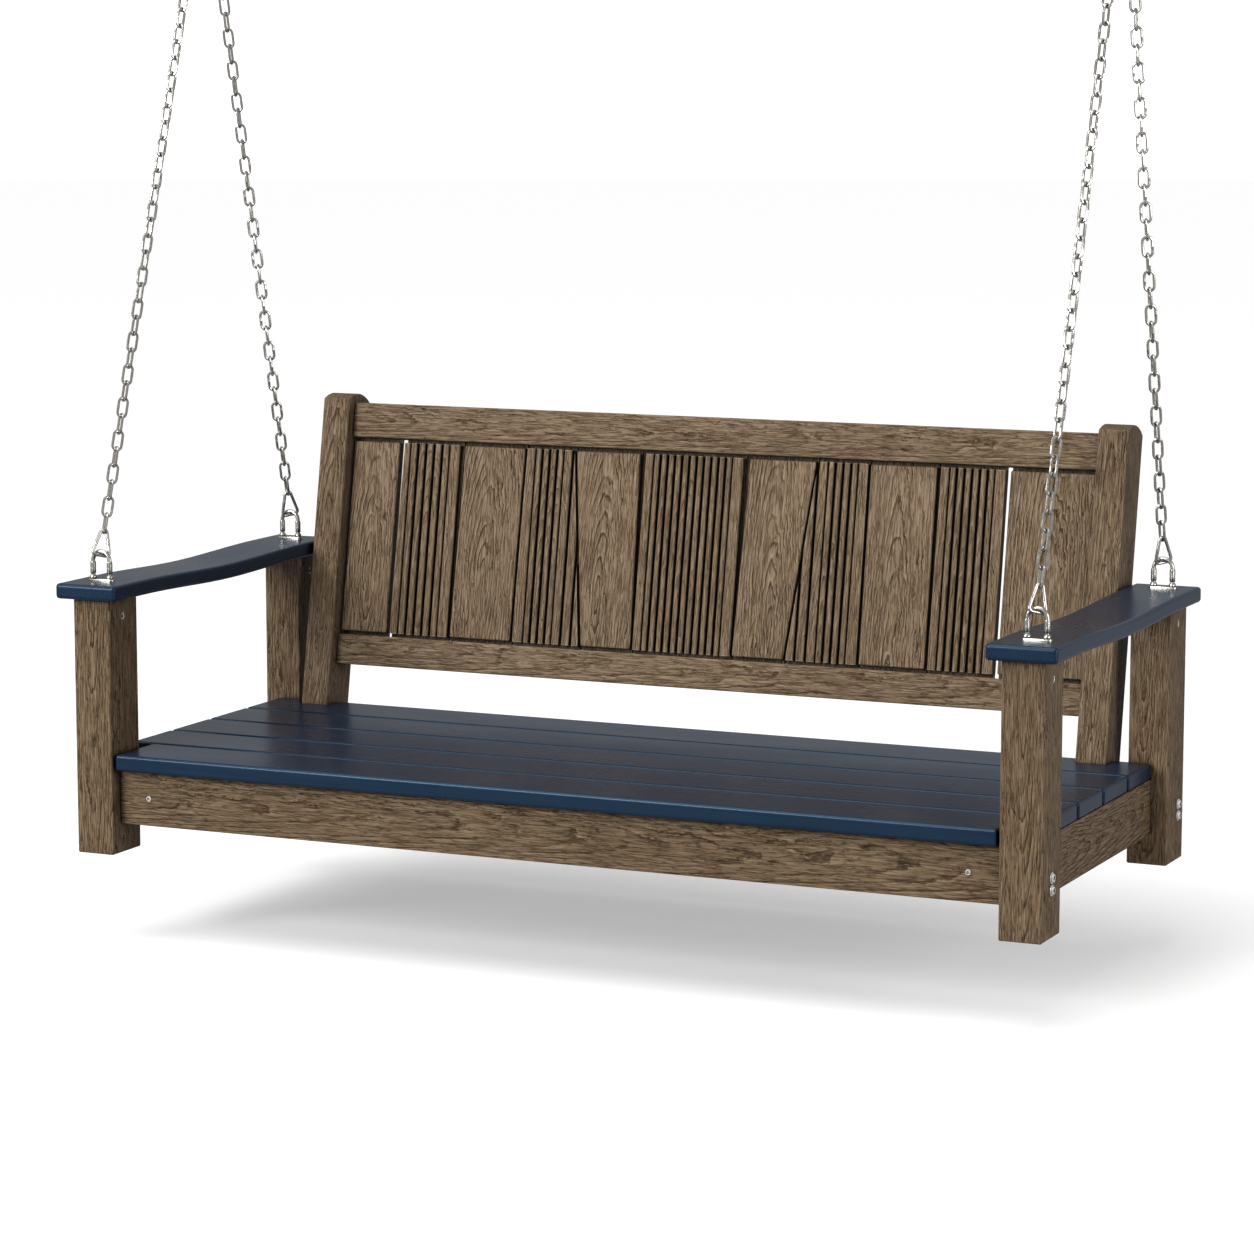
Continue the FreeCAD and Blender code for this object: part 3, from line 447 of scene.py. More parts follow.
@dataclass(frozen=True)
class PlatedSteel:
    """Zinc plate over drawn steel wire and pressed plate."""

    # Colour of the painted shade in recesses and corners.
    painted_crevice_shade: Colour = (0.030, 0.028, 0.025)
    dull: Colour = (0.30, 0.285, 0.262)
    bright: Colour = (0.68, 0.655, 0.615)
    rough: float = 0.27
    # Reach and thresholds of the painted shade in recesses.
    pocket: float = 5.0 * MM
    shut: float = 0.10
    open: float = 0.75
    metal: float = 1.0

    def material(self, name: str) -> bpy.types.Material:
        """Make the plated steel.

        Args:
            name: Name of the material.

        Returns:
            The material.
        """
        graph = Graph(name)
        point = graph.place(Matrix.Identity(3), Vector())
        bloom = graph.noise(point, (70.0, 70.0, 70.0), 1.7, 3.0)
        crystal = graph.noise(point, (420.0, 420.0, 420.0), 4.1, 2.0)
        stain = graph.noise(point, (180.0, 180.0, 180.0), 8.3, 3.0).step(0.56, 0.74)
        edge = (graph.edge(0.8 * MM) * 1.5).clamped()
        tone = (0.66 + (bloom - 0.5) * 0.5 + (crystal - 0.5) * 0.2 - stain * 0.22
                + edge * 0.3).clamped()
        metal = graph.mix(tone, (*self.dull, 1.0), (*self.bright, 1.0))
        # Painted shade: the colour darkens towards the crevice colour in recesses, sockets and where
        # parts meet.
        shade = graph.open_sky(self.pocket).step(self.shut, self.open)
        colour = graph.mix(shade, (*self.painted_crevice_shade, 1.0), metal)
        rough = self.rough + (bloom - 0.5) * 0.16 + stain * 0.16
        return graph.finish({"Base Color": colour, "Roughness": rough, "Metallic": self.metal},
                            crystal * 0.6 + stain * 0.4, 0.03 * MM)


@dataclass(frozen=True)
class Nylon:
    """Moulded natural nylon of the pivot bushes."""

    shaded: Colour = (0.60, 0.57, 0.50)
    colour: Colour = (0.72, 0.70, 0.64)

    def material(self, name: str) -> bpy.types.Material:
        """Make the nylon.

        Args:
            name: Name of the material.

        Returns:
            The material.
        """
        graph = Graph(name)
        point = graph.place(Matrix.Identity(3), Vector())
        cloud = graph.noise(point, (90.0, 90.0, 90.0), 6.6, 2.0)
        colour = graph.mix(cloud, (*self.shaded, 1.0), (*self.colour, 1.0))
        return graph.finish({"Base Color": colour, "Roughness": 0.42 + (cloud - 0.5) * 0.1},
                            cloud, 0.04 * MM)


@dataclass(frozen=True)
class PaleSheet:
    """Plain pale finish of the studio's floor and wall."""

    colour: Colour = (0.80, 0.80, 0.80)
    glow: float = 0.30

    def material(self, name: str) -> bpy.types.Material:
        """Make the finish of one sheet.

        Args:
            name: Name of the material.

        Returns:
            The material.
        """
        graph = Graph(name)
        return graph.finish({"Base Color": (*self.colour, 1.0), "Roughness": 0.9,
                             "Specular IOR Level": 0.1, "Emission Color": (1.0, 1.0, 1.0, 1.0),
                             "Emission Strength": self.glow})


class LampKind(Enum):
    """Kinds of light in the studio."""

    SUN = "SUN"
    AREA = "AREA"


@dataclass(frozen=True)
class Lamp:
    """One soft light that faces the seat.

    A sun's power is its strength and its spread is an angle in degrees. An area light's
    power is in watts and its spread is the side of its square in metres.
    """

    name: str
    kind: LampKind
    place: Place
    power: float
    spread: float


# ---- metalwork ----
class Slot(Enum):
    """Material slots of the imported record."""

    BROWN = "brown_lumber"
    NAVY = "navy_lumber"
    STEEL = "zinc_steel"
    NYLON = "nylon"


class Workpiece:
    """One new piece while it is on the bench, as an open bmesh."""

    def __init__(self) -> None:
        """Start an empty piece."""
        self.bm = bmesh.new()

    def lathe(self, profile: Sequence[tuple[float, float]], stand: Matrix, steps: int,
              lobes: float = 0.0, lobe_reach: float = 0.0) -> None:
        """Turn a profile about its axis and stand it in place.

        Args:
            profile: Radius and height of each point.
            stand: Where the turned shape goes.
            steps: Faces round it.
            lobes: Depth of the six lobes of a driver socket, as a share of its radius.
            lobe_reach: Radius inside which the lobes are cut.
        """
        verts = [self.bm.verts.new((radius, 0.0, height)) for radius, height in profile]
        edges = [self.bm.edges.new(pair) for pair in zip(verts, verts[1:])]
        before = set(self.bm.verts) - set(verts)
        bmesh.ops.spin(self.bm, geom=verts + edges, cent=(0, 0, 0), axis=Z_AXIS, dvec=(0, 0, 0),
                       angle=2 * math.pi, steps=steps, use_merge=True, use_duplicate=False)
        made = [vert for vert in self.bm.verts if vert not in before]
        bmesh.ops.remove_doubles(self.bm, verts=made, dist=1e-6)
        made = [vert for vert in self.bm.verts if vert not in before]
        for vert in made:
            reach = math.hypot(vert.co.x, vert.co.y)
            if lobes and 1e-6 < reach < lobe_reach:
                swell = 1 + lobes * math.cos(6 * math.atan2(vert.co.y, vert.co.x))
                vert.co.x *= swell
                vert.co.y *= swell
        bmesh.ops.transform(self.bm, matrix=stand, verts=made)

    def wire(self, corners: Sequence[Vector], bend: float, radius: float, closed: bool,
             sides: int, steps: int, bead: float = 1.0) -> None:
        """Draw round wire along straight runs that tangent bends join.

        Args:
            corners: Points where the straight runs would meet.
            bend: Radius of the bends.
            radius: Radius of the wire.
            closed: Whether the wire comes back to its start.
            sides: Faces round the wire.
            steps: Faces along each bend.
            bead: Swelling of a weld on the last run, as a share of the radius.
        """
        count = len(corners)
        turns = []
        for index, corner in enumerate(corners):
            if not closed and index in (0, count - 1):
                turns.append((corner, corner))
                continue
            back = (corners[index - 1] - corner).normalized()
            ahead = (corners[(index + 1) % count] - corner).normalized()
            opening = back.angle(ahead)
            setback = bend / math.tan(opening / 2)
            centre = corner + (back + ahead).normalized() * (bend / math.sin(opening / 2))
            turns.append((corner + back * setback, corner + ahead * setback, centre,
                          back.cross(ahead).normalized() * -1, math.pi - opening))
        start = turns[0][1]
        heading = (turns[1][0] - start).normalized()
        if heading.length < 0.5:
            heading = (corners[1] - corners[0]).normalized()
        before = set(self.bm.verts)
        made = bmesh.ops.create_circle(self.bm, cap_ends=not closed, segments=sides, radius=radius)
        turn = Z_AXIS.rotation_difference(heading).to_matrix().to_4x4()
        bmesh.ops.transform(self.bm, matrix=Matrix.Translation(start) @ turn, verts=made["verts"])
        edges = list({edge for vert in made["verts"] for edge in vert.link_edges})
        runs = count if closed else count - 1
        for index in range(runs):
            turn_in = turns[(index + 1) % count]
            run = turn_in[0] - turns[index][1]
            if run.length > 1e-6:
                swells = [(0.42, 1.0), (0.06, bead), (0.06, 1 / bead), (0.46, 1.0)]
                parts = swells if bead != 1.0 and index == runs - 1 else [(1.0, 1.0)]
                for share, swell in parts:
                    edges = self._extend(edges, run * share, swell)
            if len(turn_in) == 5:
                ends = list({vert for edge in edges for vert in edge.verts})
                spun = bmesh.ops.spin(self.bm, geom=ends + edges, cent=turn_in[2],
                                      axis=turn_in[3], dvec=(0, 0, 0), angle=turn_in[4],
                                      steps=steps, use_merge=False, use_duplicate=False)
                edges = [item for item in spun["geom_last"]
                         if isinstance(item, bmesh.types.BMEdge)]
        if closed:
            new = [vert for vert in self.bm.verts if vert not in before]
            bmesh.ops.remove_doubles(self.bm, verts=new, dist=2e-5)
        else:
            bmesh.ops.edgeloop_fill(self.bm, edges=edges)

    def _extend(self, edges: Sequence[bmesh.types.BMEdge], move: Vector,
                swell: float) -> list[bmesh.types.BMEdge]:
        """Push a ring of edges along a run and return the new ring."""
        grown = bmesh.ops.extrude_edge_only(self.bm, edges=edges)["geom"]
        verts = [item for item in grown if isinstance(item, bmesh.types.BMVert)]
        bmesh.ops.translate(self.bm, vec=move, verts=verts)
        if swell != 1.0:
            middle = sum((vert.co for vert in verts), Vector()) / len(verts)
            bmesh.ops.scale(self.bm, vec=(swell, swell, swell), verts=verts,
                            space=Matrix.Translation(-middle))
        fresh = set(verts)
        return [edge for edge in {edge for vert in verts for edge in vert.link_edges}
                if edge.verts[0] in fresh and edge.verts[1] in fresh]

    def bar(self, reach: float, width: float, height: float, ease: float, stand: Matrix) -> None:
        """Cut a flat bar with round ends and eased edges.

        Args:
            reach: Distance from the middle to the centre of each round end.
            width: Width of the bar.
            height: Its thickness.
            ease: Size of the eased edges.
            stand: Where it goes.
        """
        before = set(self.bm.verts)
        made = bmesh.ops.create_circle(self.bm, cap_ends=True, segments=24, radius=width / 2)
        for vert in made["verts"]:
            vert.co.x += math.copysign(reach, vert.co.x)
        face = next(iter({face for vert in made["verts"] for face in vert.link_faces}))
        grown = bmesh.ops.extrude_face_region(self.bm, geom=[face])["geom"]
        top = [item for item in grown if isinstance(item, bmesh.types.BMVert)]
        bmesh.ops.translate(self.bm, vec=(0, 0, height), verts=top)
        rim = {edge for vert in top for edge in vert.link_edges
               if all(end in top for end in edge.verts)}
        bmesh.ops.bevel(self.bm, geom=list(rim), offset=ease, offset_type="OFFSET", segments=2,
                        profile=0.5, affect="EDGES", material=-1)
        new = [vert for vert in self.bm.verts if vert not in before]
        bmesh.ops.transform(self.bm, matrix=stand, verts=new)

    def stamp(self, pattern: bpy.types.Mesh, stand: Matrix) -> None:
        """Add a copy of a finished shape.

        Args:
            pattern: The shape to copy.
            stand: Where the copy goes.
        """
        before = set(self.bm.verts)
        self.bm.from_mesh(pattern)
        new = [vert for vert in self.bm.verts if vert not in before]
        bmesh.ops.transform(self.bm, matrix=stand, verts=new)

    def mesh(self, name: str, crease: float = 38.0) -> bpy.types.Mesh:
        """Turn the piece into a mesh with smooth faces and crisp creases.

        Args:
            name: Name of the mesh.
            crease: Angle in degrees past which an edge stays crisp.

        Returns:
            The mesh.
        """
        bmesh.ops.recalc_face_normals(self.bm, faces=self.bm.faces)
        for face in self.bm.faces:
            face.smooth = True
        for edge in self.bm.edges:
            edge.smooth = edge.calc_face_angle(0.0) < math.radians(crease)
        made = bpy.data.meshes.new(name)
        self.bm.to_mesh(made)
        self.bm.free()
        return made

    def fit(self, name: str, material: bpy.types.Material, nodes: Sequence[str],
            body: str = "swing") -> None:
        """Finish the piece and fit it in the place of its CAD nodes.

        Args:
            name: Name of the piece.
            material: Its finish.
            nodes: CAD nodes that it stands for.
            body: Body that it moves with.
        """
        made = self.mesh(name)
        made.materials.append(material)
        piece = bpy.data.objects.new(name, made)
        bpy.context.scene.collection.objects.link(piece)
        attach(piece, body)
        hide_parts(*nodes)
        log.info("%s: %d faces in place of %s", name, len(made.polygons), ", ".join(nodes))


def middle_of(node: str) -> Vector:
    """Return the middle of a CAD node's box."""
    low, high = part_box(node)
    return (low + high) / 2


def dress(node: str, material: bpy.types.Material) -> None:
    """Give a CAD node its finish.

    Args:
        node: Name of the node.
        material: The finish.
    """
    piece = frame["nodes"][node]
    piece.data.materials.clear()
    piece.data.materials.append(material)
    log.info("%s: %s", node, material.name)


# ---- sub-assemblies ----
@dataclass
class LumberFrame:
    """Brown posts, aprons, joists, cleats and the raked back."""

    rake: float = math.radians(10.1)
    finish: BrownLumber = field(default_factory=BrownLumber)

    def grain(self, node: str) -> Grain:
        """Return which way the grain of a board runs."""
        if "post" in node:
            return Grain.UPRIGHT
        if "rail" in node or node in ("front_apron", "rear_apron"):
            return Grain.LENGTHWISE
        if "stile" in node or "plank" in node or "reeded" in node:
            return Grain.RAKED
        return Grain.DEPTHWISE

    def figure(self, node: str) -> Figure:
        """Return how a board is figured: the boards of the back are the palest, painted so to stand
        in for the stronger light that falls on the raked back.
        """
        if "plank" in node:
            return Figure(tone=0.67, depth=0.40, pitch=5.0 * MM, taper=0.12)
        if "reeded" in node:
            return Figure(tone=0.66, depth=0.30, pitch=4.2 * MM, taper=0.12)
        if "rail" in node:
            return Figure(tone=0.64, depth=0.28, pitch=4.2 * MM, taper=0.030)
        if node in ("front_apron", "rear_apron"):
            return Figure(tone=0.61, depth=0.30, pitch=4.6 * MM, taper=0.030)
        return Figure(tone=0.60, depth=0.32, pitch=4.6 * MM, taper=0.075)

    def dress(self) -> None:
        """Give each brown board its own figure."""
        brown = [part["node"] for part in frame["record"]["subparts"]
                 if part["material_slot"] == Slot.BROWN.value]
        for index, node in enumerate(sorted(brown)):
            grain = self.grain(node)
            dress(node, self.finish.material(node + "_grain", grain.axes(self.rake),
                                             middle_of(node), 1.0 + 2.37 * index,
                                             self.figure(node)))


@dataclass
class NavyBoards:
    """Navy seat slats and armrests."""

    finish: NavyLumber = field(default_factory=NavyLumber)

    def dress(self) -> None:
        """Give each navy board its own drawn grain."""
        navy = [part["node"] for part in frame["record"]["subparts"]
                if part["material_slot"] == Slot.NAVY.value]
        for index, node in enumerate(sorted(navy)):
            grain = Grain.DEPTHWISE if "arm" in node else Grain.LENGTHWISE
            dress(node, self.finish.material(node + "_satin", grain.axes(0.0), middle_of(node),
                                             3.0 + 1.91 * index))


@dataclass
class Suspension:
    """U-bolts, triangular links, chains and rings."""

    hang_inset: float = 28.0 * MM
    wire: float = 3.5 * MM
    legs: float = 31.5 * MM
    sleeve_rise: float = 11.5 * MM
    sleeve_length: float = 20.0 * MM
    strap_thickness: float = 3.0 * MM
    strap_width: float = 12.0 * MM
    strap_overhang: float = 8.0 * MM
    strap_ease: float = 0.8 * MM
    sleeve_wall: float = 1.25 * MM
    delta_wire: float = 2.75 * MM
    delta_width: float = 30.5 * MM
    delta_height: float = 60.0 * MM
    delta_bend: float = 5.6 * MM
    delta_turn: float = 45.0
    link_wire: float = 2.3 * MM
    link_width: float = 20.0 * MM
    link_pitch: float = 28.0 * MM
    slack: float = 0.2 * MM
    link_weld: float = 1.16
    delta_weld: float = 1.10
    rear_links: int = 40
    front_links: int = 41
    ring_radius: float = 22.0 * MM
    ring_wire: float = 4.0 * MM
    finish: PlatedSteel = field(default_factory=PlatedSteel)

    def bows(self) -> list[tuple[str, str, Vector]]:
        """Return side, place and bow centre of the four U-bolts."""
        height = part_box("u_bolts")[1].z - self.wire
        found = []
        for side in ("left", "right"):
            for place in ("front", "rear"):
                low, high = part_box(side + "_" + place + "_post")
                inset = low.x + self.hang_inset if side == "left" else high.x - self.hang_inset
                found.append((side, place, Vector((inset, (low.y + high.y) / 2, height))))
        return found

    def first_link(self) -> float:
        """Return the height of the lowest link above the bow centre, along the chain."""
        half = math.atan2(self.delta_width / 2, self.delta_height)
        apex = self.delta_height - self.delta_bend / math.sin(half) + self.delta_bend
        return apex - (self.wire + 2 * self.delta_wire + self.link_wire + 2 * self.slack)

    def stand(self, start: Vector, along: Vector, turn: float) -> Matrix:
        """Return the placement of a shape drawn up Z.

        Args:
            start: Where its zero goes.
            along: Unit vector that its Z takes.
            turn: Turn about that vector, in degrees.

        Returns:
            The placement.
        """
        angle = math.radians(turn)
        across = (X_AXIS * math.cos(angle) + along.cross(X_AXIS) * math.sin(angle)).normalized()
        axes = Matrix((across, along.cross(across), along)).transposed()
        return Matrix.Translation(start) @ axes.to_4x4()

    def link_shape(self) -> bpy.types.Mesh:
        """Return one welded oval link, drawn up Z from its lower bend."""
        half = self.link_width / 2 - self.link_wire
        length = self.link_pitch + 2 * self.link_wire + self.slack
        bench = Workpiece()
        bench.wire([Vector((-half, 0, 0)), Vector((half, 0, 0)), Vector((half, 0, length)),
                    Vector((-half, 0, length))], half * FULL_BEND, self.link_wire, True, 8, 4,
                   self.link_weld)
        return bench.mesh("link")

    def build_chains(self, steel: bpy.types.Material) -> None:
        """Build the four chains and their triangular links."""
        ring = middle_of("chain_rings")
        shape = self.link_shape()
        half = self.delta_width / 2
        triangle = [Vector((-half, 0, 0)), Vector((half, 0, 0)), Vector((0, 0, self.delta_height))]
        bench = Workpiece()
        bench.wire(triangle, self.delta_bend, self.delta_wire, True, 14, 7, self.delta_weld)
        delta = bench.mesh("triangle_link")
        deltas = Workpiece()
        for side, place, bow in self.bows():
            along = (Vector((bow.x, ring.y, ring.z)) - bow).normalized()
            base = self.wire + self.delta_wire + self.slack
            deltas.stamp(delta, self.stand(bow - along * base, along, self.delta_turn))
            links = self.front_links if place == "front" else self.rear_links
            whole = self.delta_turn + 90.0 * links
            spare = 180.0 * round(whole / 180.0) - whole
            chain = Workpiece()
            for index in range(links):
                turn = self.delta_turn + 90.0 * (index + 1) + spare * index / (links - 1)
                start = bow + along * (self.first_link() + self.link_pitch * index)
                chain.stamp(shape, self.stand(start, along, turn))
            node = side + "_" + place + "_chain"
            chain.fit(node + "_links", steel, [node])
        deltas.fit("triangle_link_set", steel, ["triangle_links"])

    def build_rings(self, steel: bpy.types.Material) -> None:
        """Build the rings that gather each pair of chains."""
        ring = middle_of("chain_rings")
        rings = Workpiece()
        for bow in (self.bows()[0][2], self.bows()[2][2]):
            half = self.ring_radius
            corners = [Vector((bow.x, ring.y + y * half, ring.z + z * half))
                       for y, z in ((-1, -1), (1, -1), (1, 1), (-1, 1))]
            rings.wire(corners, half * FULL_BEND, self.ring_wire, True, 16, 12)
        rings.fit("chain_ring_pair", steel, ["chain_rings"])

    def build_u_bolts(self, steel: bpy.types.Material) -> None:
        """Build the U-bolts with their straps, ball nuts and sleeves."""
        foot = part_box("u_bolts")[0].z
        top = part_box("u_bolt_straps")[0].z
        half = self.legs / 2
        wires = Workpiece()
        straps = Workpiece()
        nuts = Workpiece()
        sleeves = Workpiece()
        wall = self.wire + self.sleeve_wall
        length = self.sleeve_length
        sleeve = [(self.wire, 0.0), (wall - 0.35 * MM, 0.0), (wall, 0.5 * MM),
                  (wall, length * 0.5 - 1.4 * MM), (wall - 0.5 * MM, length * 0.5 - 0.9 * MM),
                  (wall - 0.5 * MM, length * 0.5 - 0.5 * MM), (wall, length * 0.5),
                  (wall, length - 1.9 * MM), (wall - 0.45 * MM, length - 1.5 * MM),
                  (wall - 0.45 * MM, length - 1.1 * MM), (wall, length - 0.8 * MM),
                  (wall - 0.3 * MM, length), (self.wire, length)]
        ball = [(self.wire, 0.0), (4.6 * MM, 0.0), (5.4 * MM, 0.6 * MM), (5.95 * MM, 1.8 * MM),
                (5.95 * MM, 3.0 * MM), (5.5 * MM, 4.6 * MM), (4.7 * MM, 5.8 * MM),
                (4.3 * MM, 6.6 * MM), (self.wire, 6.9 * MM)]
        for _, _, bow in self.bows():
            wires.wire([Vector((bow.x - half, bow.y, foot)), Vector((bow.x - half, bow.y, bow.z)),
                        Vector((bow.x + half, bow.y, bow.z)), Vector((bow.x + half, bow.y, foot))],
                       half * FULL_BEND, self.wire, False, 16, 16)
            straps.bar(half + self.strap_overhang - self.strap_width / 2, self.strap_width,
                       self.strap_thickness, self.strap_ease,
                       Matrix.Translation((bow.x, bow.y, top)))
            for shift in (-half, half):
                point = Vector((bow.x + shift, bow.y, top))
                nuts.lathe(ball, Matrix.Translation(point + Z_AXIS * self.strap_thickness), 24)
                sleeves.lathe(sleeve, Matrix.Translation(point + Z_AXIS * self.sleeve_rise), 24)
        wires.fit("u_bolt_set", steel, ["u_bolts"])
        straps.fit("u_bolt_strap_set", steel, ["u_bolt_straps"])
        nuts.fit("u_bolt_nut_set", steel, ["u_bolt_nuts"])
        sleeves.fit("u_bolt_sleeve_set", steel, ["u_bolt_sleeves"])

    def build(self) -> None:
        """Build everything between the arms and the hangers."""
        steel = self.finish.material("plated_wire")
        self.build_u_bolts(steel)
        self.build_chains(steel)
        self.build_rings(steel)


@dataclass
class Fasteners:
    """Screws, bolts, washers and cross dowels that show on the frame."""

    post_bolt_pitch: float = 19.0 * MM
    screw_shank: float = 2.5 * MM
    screw_head: float = 4.6 * MM
    bolt_shank: float = 4.0 * MM
    bolt_grip: float = 55.0 * MM
    bolt_head: float = 6.5 * MM
    bolt_head_height: float = 3.5 * MM
    washer: float = 8.6 * MM
    washer_bore: float = 4.1 * MM
    washer_thickness: float = 1.5 * MM
    dowel: float = 6.0 * MM
    dowel_inset: float = 1.0 * MM
    dowel_socket: float = 5.0 * MM
    socket_lobes: float = 0.10
    lobe_reach: float = 0.66
    # A wider, stronger painted shade darkens the driver sockets and the rims round the heads.
    finish: PlatedSteel = field(default_factory=lambda: PlatedSteel(
        dull=(0.70, 0.68, 0.65), bright=(0.95, 0.93, 0.90), rough=0.30, pocket=6.0 * MM,
        shut=0.52, open=0.82, metal=0.35))

    def facing(self, point: Vector, outward: Vector) -> Matrix:
        """Return the placement of a head on a face, its top looking outward."""
        turn = Z_AXIS.rotation_difference(outward).to_matrix().to_4x4()
        return Matrix.Translation(point) @ turn

    def head(self, radius: float, height: float, shank: float, length: float) -> list:
        """Return the profile of a pan head with a driver socket and its shank.

        Args:
            radius: Radius of the head.
            height: Height of the head above the face.
            shank: Radius of the shank.
            length: Length of the shank below the face.

        Returns:
            Radius and height of each point, from the socket to the tip.
        """
        return [(0.0, height * 0.05), (radius * 0.60, height * 0.05), (radius * 0.64, height * 0.92),
                (radius * 0.69, height), (radius * 0.84, height * 0.96),
                (radius * 0.95, height * 0.66), (radius, height * 0.28), (radius, 0.0),
                (shank, 0.0), (shank, -length * 0.93), (shank * 0.3, -length), (0.0, -length)]

    def build_apron_screws(self, steel: bpy.types.Material) -> None:
        """Build the two screws in the front apron."""
        low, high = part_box("apron_screws")
        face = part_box("front_apron")[0].y
        bench = Workpiece()
        for x in (low.x + self.screw_head, high.x - self.screw_head):
            spot = Vector((x, face, (low.z + high.z) / 2))
            bench.lathe(self.head(self.screw_head, face - low.y, self.screw_shank, high.y - face),
                        self.facing(spot, -Y_AXIS), 36, self.socket_lobes,
                        self.screw_head * self.lobe_reach)
        bench.fit("apron_screw_pair", steel, ["apron_screws"])

    def build_post_bolts(self, steel: bpy.types.Material) -> None:
        """Build the bolts that hold the aprons to the posts, and their washers."""
        low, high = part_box("post_bolts")
        bolts = Workpiece()
        washers = Workpiece()
        middle = (low.z + high.z) / 2
        band = self.washer
        flat = self.washer_thickness
        bore = self.washer_bore
        ring = [(bore, 0.0), (band - 0.25 * MM, 0.0), (band, 0.25 * MM),
                (band, flat - 0.35 * MM), (band - 0.35 * MM, flat), (bore, flat)]
        for side, outward in (("left", -X_AXIS), ("right", X_AXIS)):
            post_low, post_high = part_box(side + "_front_post")
            face = post_low.x if side == "left" else post_high.x
            length = post_high.x - post_low.x + self.bolt_grip + flat
            for apron in ("front_apron", "rear_apron"):
                for lift in (-self.post_bolt_pitch / 2, self.post_bolt_pitch / 2):
                    spot = Vector((face, middle_of(apron).y, middle + lift))
                    washers.lathe(ring, self.facing(spot, outward), 32)
                    bolts.lathe(self.head(self.bolt_head, self.bolt_head_height,
                                          self.bolt_shank, length),
                                self.facing(spot + outward * flat, outward), 36, self.socket_lobes,
                                self.bolt_head * self.lobe_reach)
        bolts.fit("post_bolt_set", steel, ["post_bolts"])
        washers.fit("post_washer_set", steel, ["post_bolt_washers"])

    def build_dowels(self, steel: bpy.types.Material) -> None:
        """Build the cross dowels that the U-bolts screw into."""
        low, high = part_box("cross_dowels")
        bench = Workpiece()
        rim = self.dowel
        deep = self.dowel_socket
        ease = 0.5 * MM
        height = (low.z + high.z) / 2
        for side, outward in (("left", -X_AXIS), ("right", X_AXIS)):
            for place in ("front", "rear"):
                post_low, post_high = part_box(side + "_" + place + "_post")
                length = (post_high.x - post_low.x) / 2 - self.dowel_inset
                end = [(0.0, length - deep), (rim * 0.58, length - deep),
                       (rim * 0.62, length - 0.4 * MM), (rim * 0.70, length),
                       (rim - ease, length), (rim, length - ease)]
                profile = end + [(radius, -rise) for radius, rise in reversed(end)]
                spot = Vector(((post_low.x + post_high.x) / 2, (post_low.y + post_high.y) / 2,
                               height))
                bench.lathe(profile, self.facing(spot, outward), 32)
        bench.fit("cross_dowel_set", steel, ["cross_dowels"])

    def build(self) -> None:
        """Build the fasteners that show and dress the rest."""
        steel = self.finish.material("plated_fastener")
        self.build_apron_screws(steel)
        self.build_post_bolts(steel)
        self.build_dowels(steel)
        for node in ("cleat_screws", "slat_screws", "stile_bolts"):
            dress(node, steel)


@dataclass
class CeilingSet:
    """Ceiling brackets, pivot bolts, bushes and swivel lugs."""

    steel: PlatedSteel = field(default_factory=lambda: PlatedSteel(rough=0.36))
    nylon: Nylon = field(default_factory=Nylon)

    def build(self) -> None:
        """Dress the hangers."""
        plate = self.steel.material("plated_plate")
        for node in ("left_ceiling_bracket", "right_ceiling_bracket", "pivot_bolts",
                     "pivot_nuts", "left_swivel_lug", "right_swivel_lug"):
            dress(node, plate)
        dress("pivot_bushes", self.nylon.material("natural_nylon"))


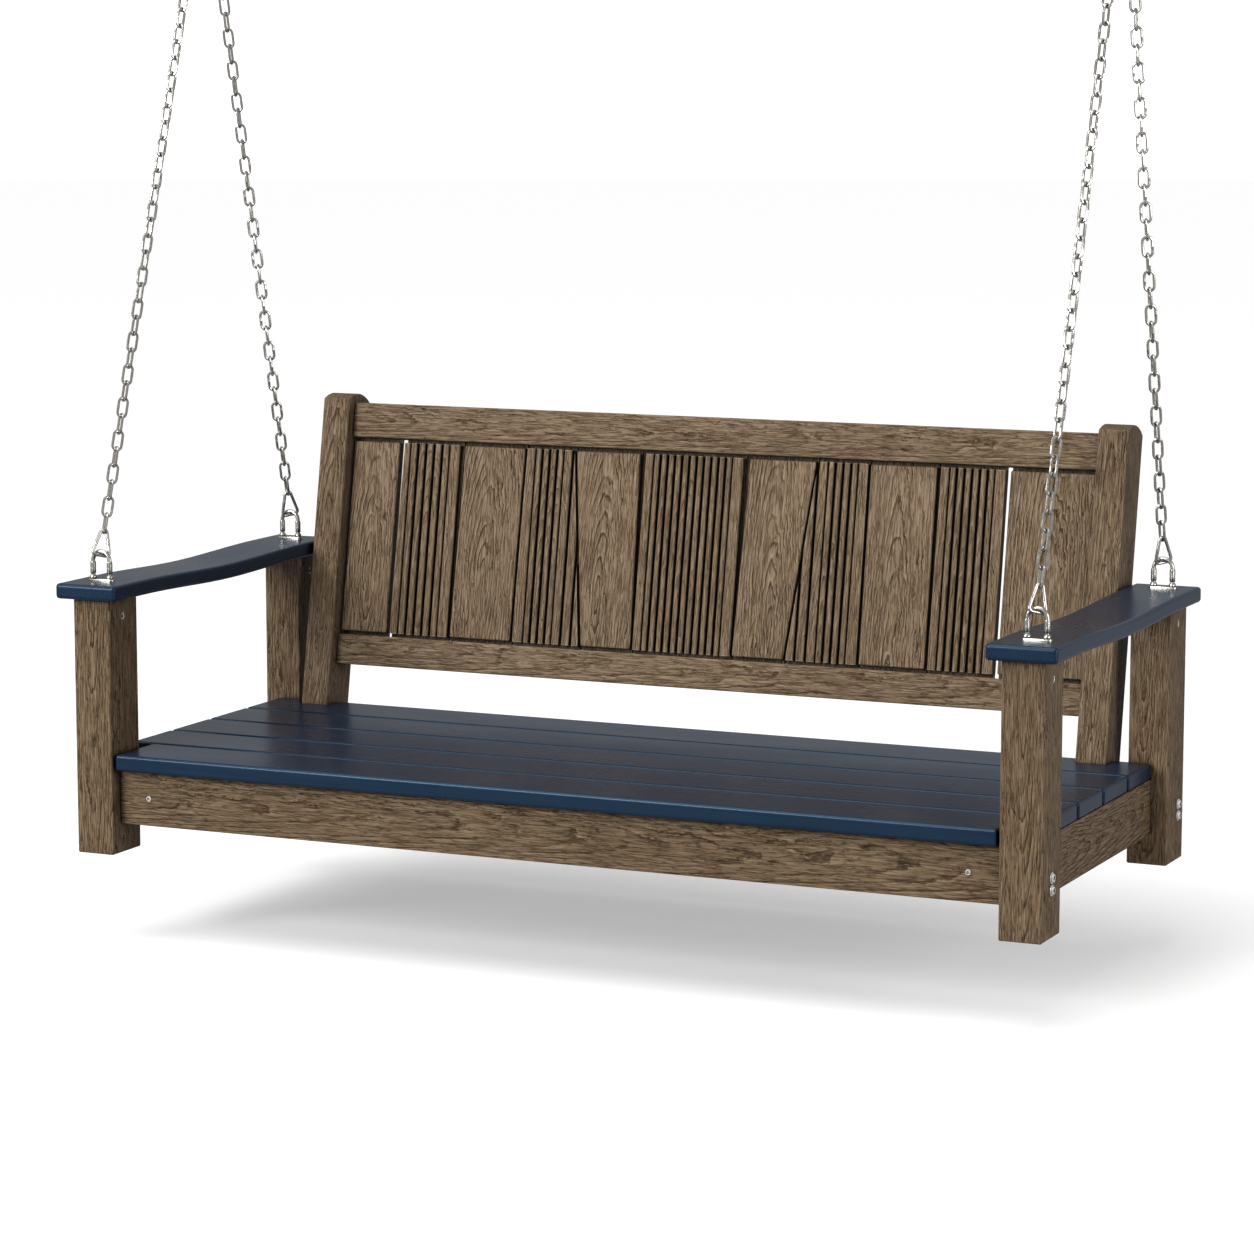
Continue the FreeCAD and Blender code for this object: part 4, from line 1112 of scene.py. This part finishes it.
@dataclass
class Studio:
    """Camera, floor and soft lights."""

    camera_place: Place = (2.6881, -5.9622, -0.4107)
    heading: float = 24.48
    tilt: float = 8.253
    lens: float = 114.84
    film: float = 36.0
    floor_height: float = -1.883
    floor_reach: float = 40.0
    wall_reach: float = 39.0
    wall_height: float = 80.0
    target: Place = (0.0, 0.0, -1.3)
    lamps: tuple[Lamp, ...] = (
        Lamp("key", LampKind.SUN, (-0.8, -1.5, 3.2), 1.75, 45.0),
        Lamp("front", LampKind.AREA, (-3.4, -6.6, 1.2), 540.0, 3.2),
        Lamp("side", LampKind.AREA, (2.9, -0.8, -0.9), 30.0, 1.3))
    room_light: float = 0.35
    floor: PaleSheet = field(default_factory=PaleSheet)
    wall: PaleSheet = field(default_factory=lambda: PaleSheet(glow=1.0))

    def build_camera(self) -> None:
        """Set the camera at the height of the arms, a little to the right."""
        data = bpy.data.cameras.new("camera")
        data.lens = self.lens
        data.sensor_width = self.film
        data.clip_end = 200.0
        camera = bpy.data.objects.new("camera", data)
        turn = math.radians(self.heading)
        dip = math.radians(self.tilt)
        look = Vector((-math.sin(turn) * math.cos(dip), math.cos(turn) * math.cos(dip),
                       -math.sin(dip)))
        camera.location = self.camera_place
        camera.rotation_euler = look.to_track_quat("-Z", "Y").to_euler()
        bpy.context.scene.collection.objects.link(camera)
        bpy.context.scene.camera = camera

    def add_sheet(self, name: str, bm: bmesh.types.BMesh, material: bpy.types.Material,
                  shades: bool) -> None:
        """Put up one plain sheet of the studio, which throws no light back.

        Args:
            name: Name of the sheet.
            bm: Its shape about the seat's own middle, standing on the floor.
            material: Its finish.
            shades: Whether it stops the light that falls on it.
        """
        bmesh.ops.translate(bm, vec=(0, 0, self.floor_height), verts=bm.verts)
        mesh = bpy.data.meshes.new(name)
        bm.to_mesh(mesh)
        bm.free()
        mesh.materials.append(material)
        sheet = bpy.data.objects.new(name, mesh)
        bpy.context.scene.collection.objects.link(sheet)
        sheet.visible_diffuse = False
        sheet.visible_glossy = False
        sheet.visible_shadow = shades

    def build_room(self) -> None:
        """Lay the floor and put up the round wall about the swing."""
        floor = bmesh.new()
        bmesh.ops.create_grid(floor, x_segments=4, y_segments=4, size=self.floor_reach)
        self.add_sheet("floor", floor, self.floor.material("pale_floor"), True)
        wall = bmesh.new()
        bmesh.ops.create_cone(wall, cap_ends=False, segments=96, radius1=self.wall_reach,
                              radius2=self.wall_reach, depth=self.wall_height)
        self.add_sheet("wall", wall, self.wall.material("pale_wall"), False)

    def hang(self, lamp: Lamp) -> None:
        """Hang one light, turned to the seat."""
        data = bpy.data.lights.new(lamp.name, lamp.kind.value)
        data.energy = lamp.power
        if lamp.kind is LampKind.SUN:
            data.angle = math.radians(lamp.spread)
        else:
            data.size = lamp.spread
        light = bpy.data.objects.new(lamp.name, data)
        light.location = lamp.place
        direction = Vector(self.target) - Vector(lamp.place)
        light.rotation_euler = direction.to_track_quat("-Z", "Y").to_euler()
        bpy.context.scene.collection.objects.link(light)

    def build_lights(self) -> None:
        """Hang the lights in a grey room."""
        for lamp in self.lamps:
            self.hang(lamp)
        world = bpy.data.worlds.new("room")
        world.use_nodes = True
        background = world.node_tree.nodes["Background"]
        background.inputs["Color"].default_value = (1.0, 1.0, 1.0, 1.0)
        background.inputs["Strength"].default_value = self.room_light
        bpy.context.scene.world = world
        bpy.context.scene.view_settings.view_transform = "Standard"

    def build(self) -> None:
        """Set up the whole studio."""
        self.build_camera()
        self.build_room()
        self.build_lights()


def main() -> None:
    """Build the swing's finishes and details, then the studio."""
    logging.basicConfig(level=logging.INFO, format="%(name)s %(message)s")
    LumberFrame().dress()
    NavyBoards().dress()
    Suspension().build()
    Fasteners().build()
    CeilingSet().build()
    Studio().build()


if __name__ == "__main__":
    main()
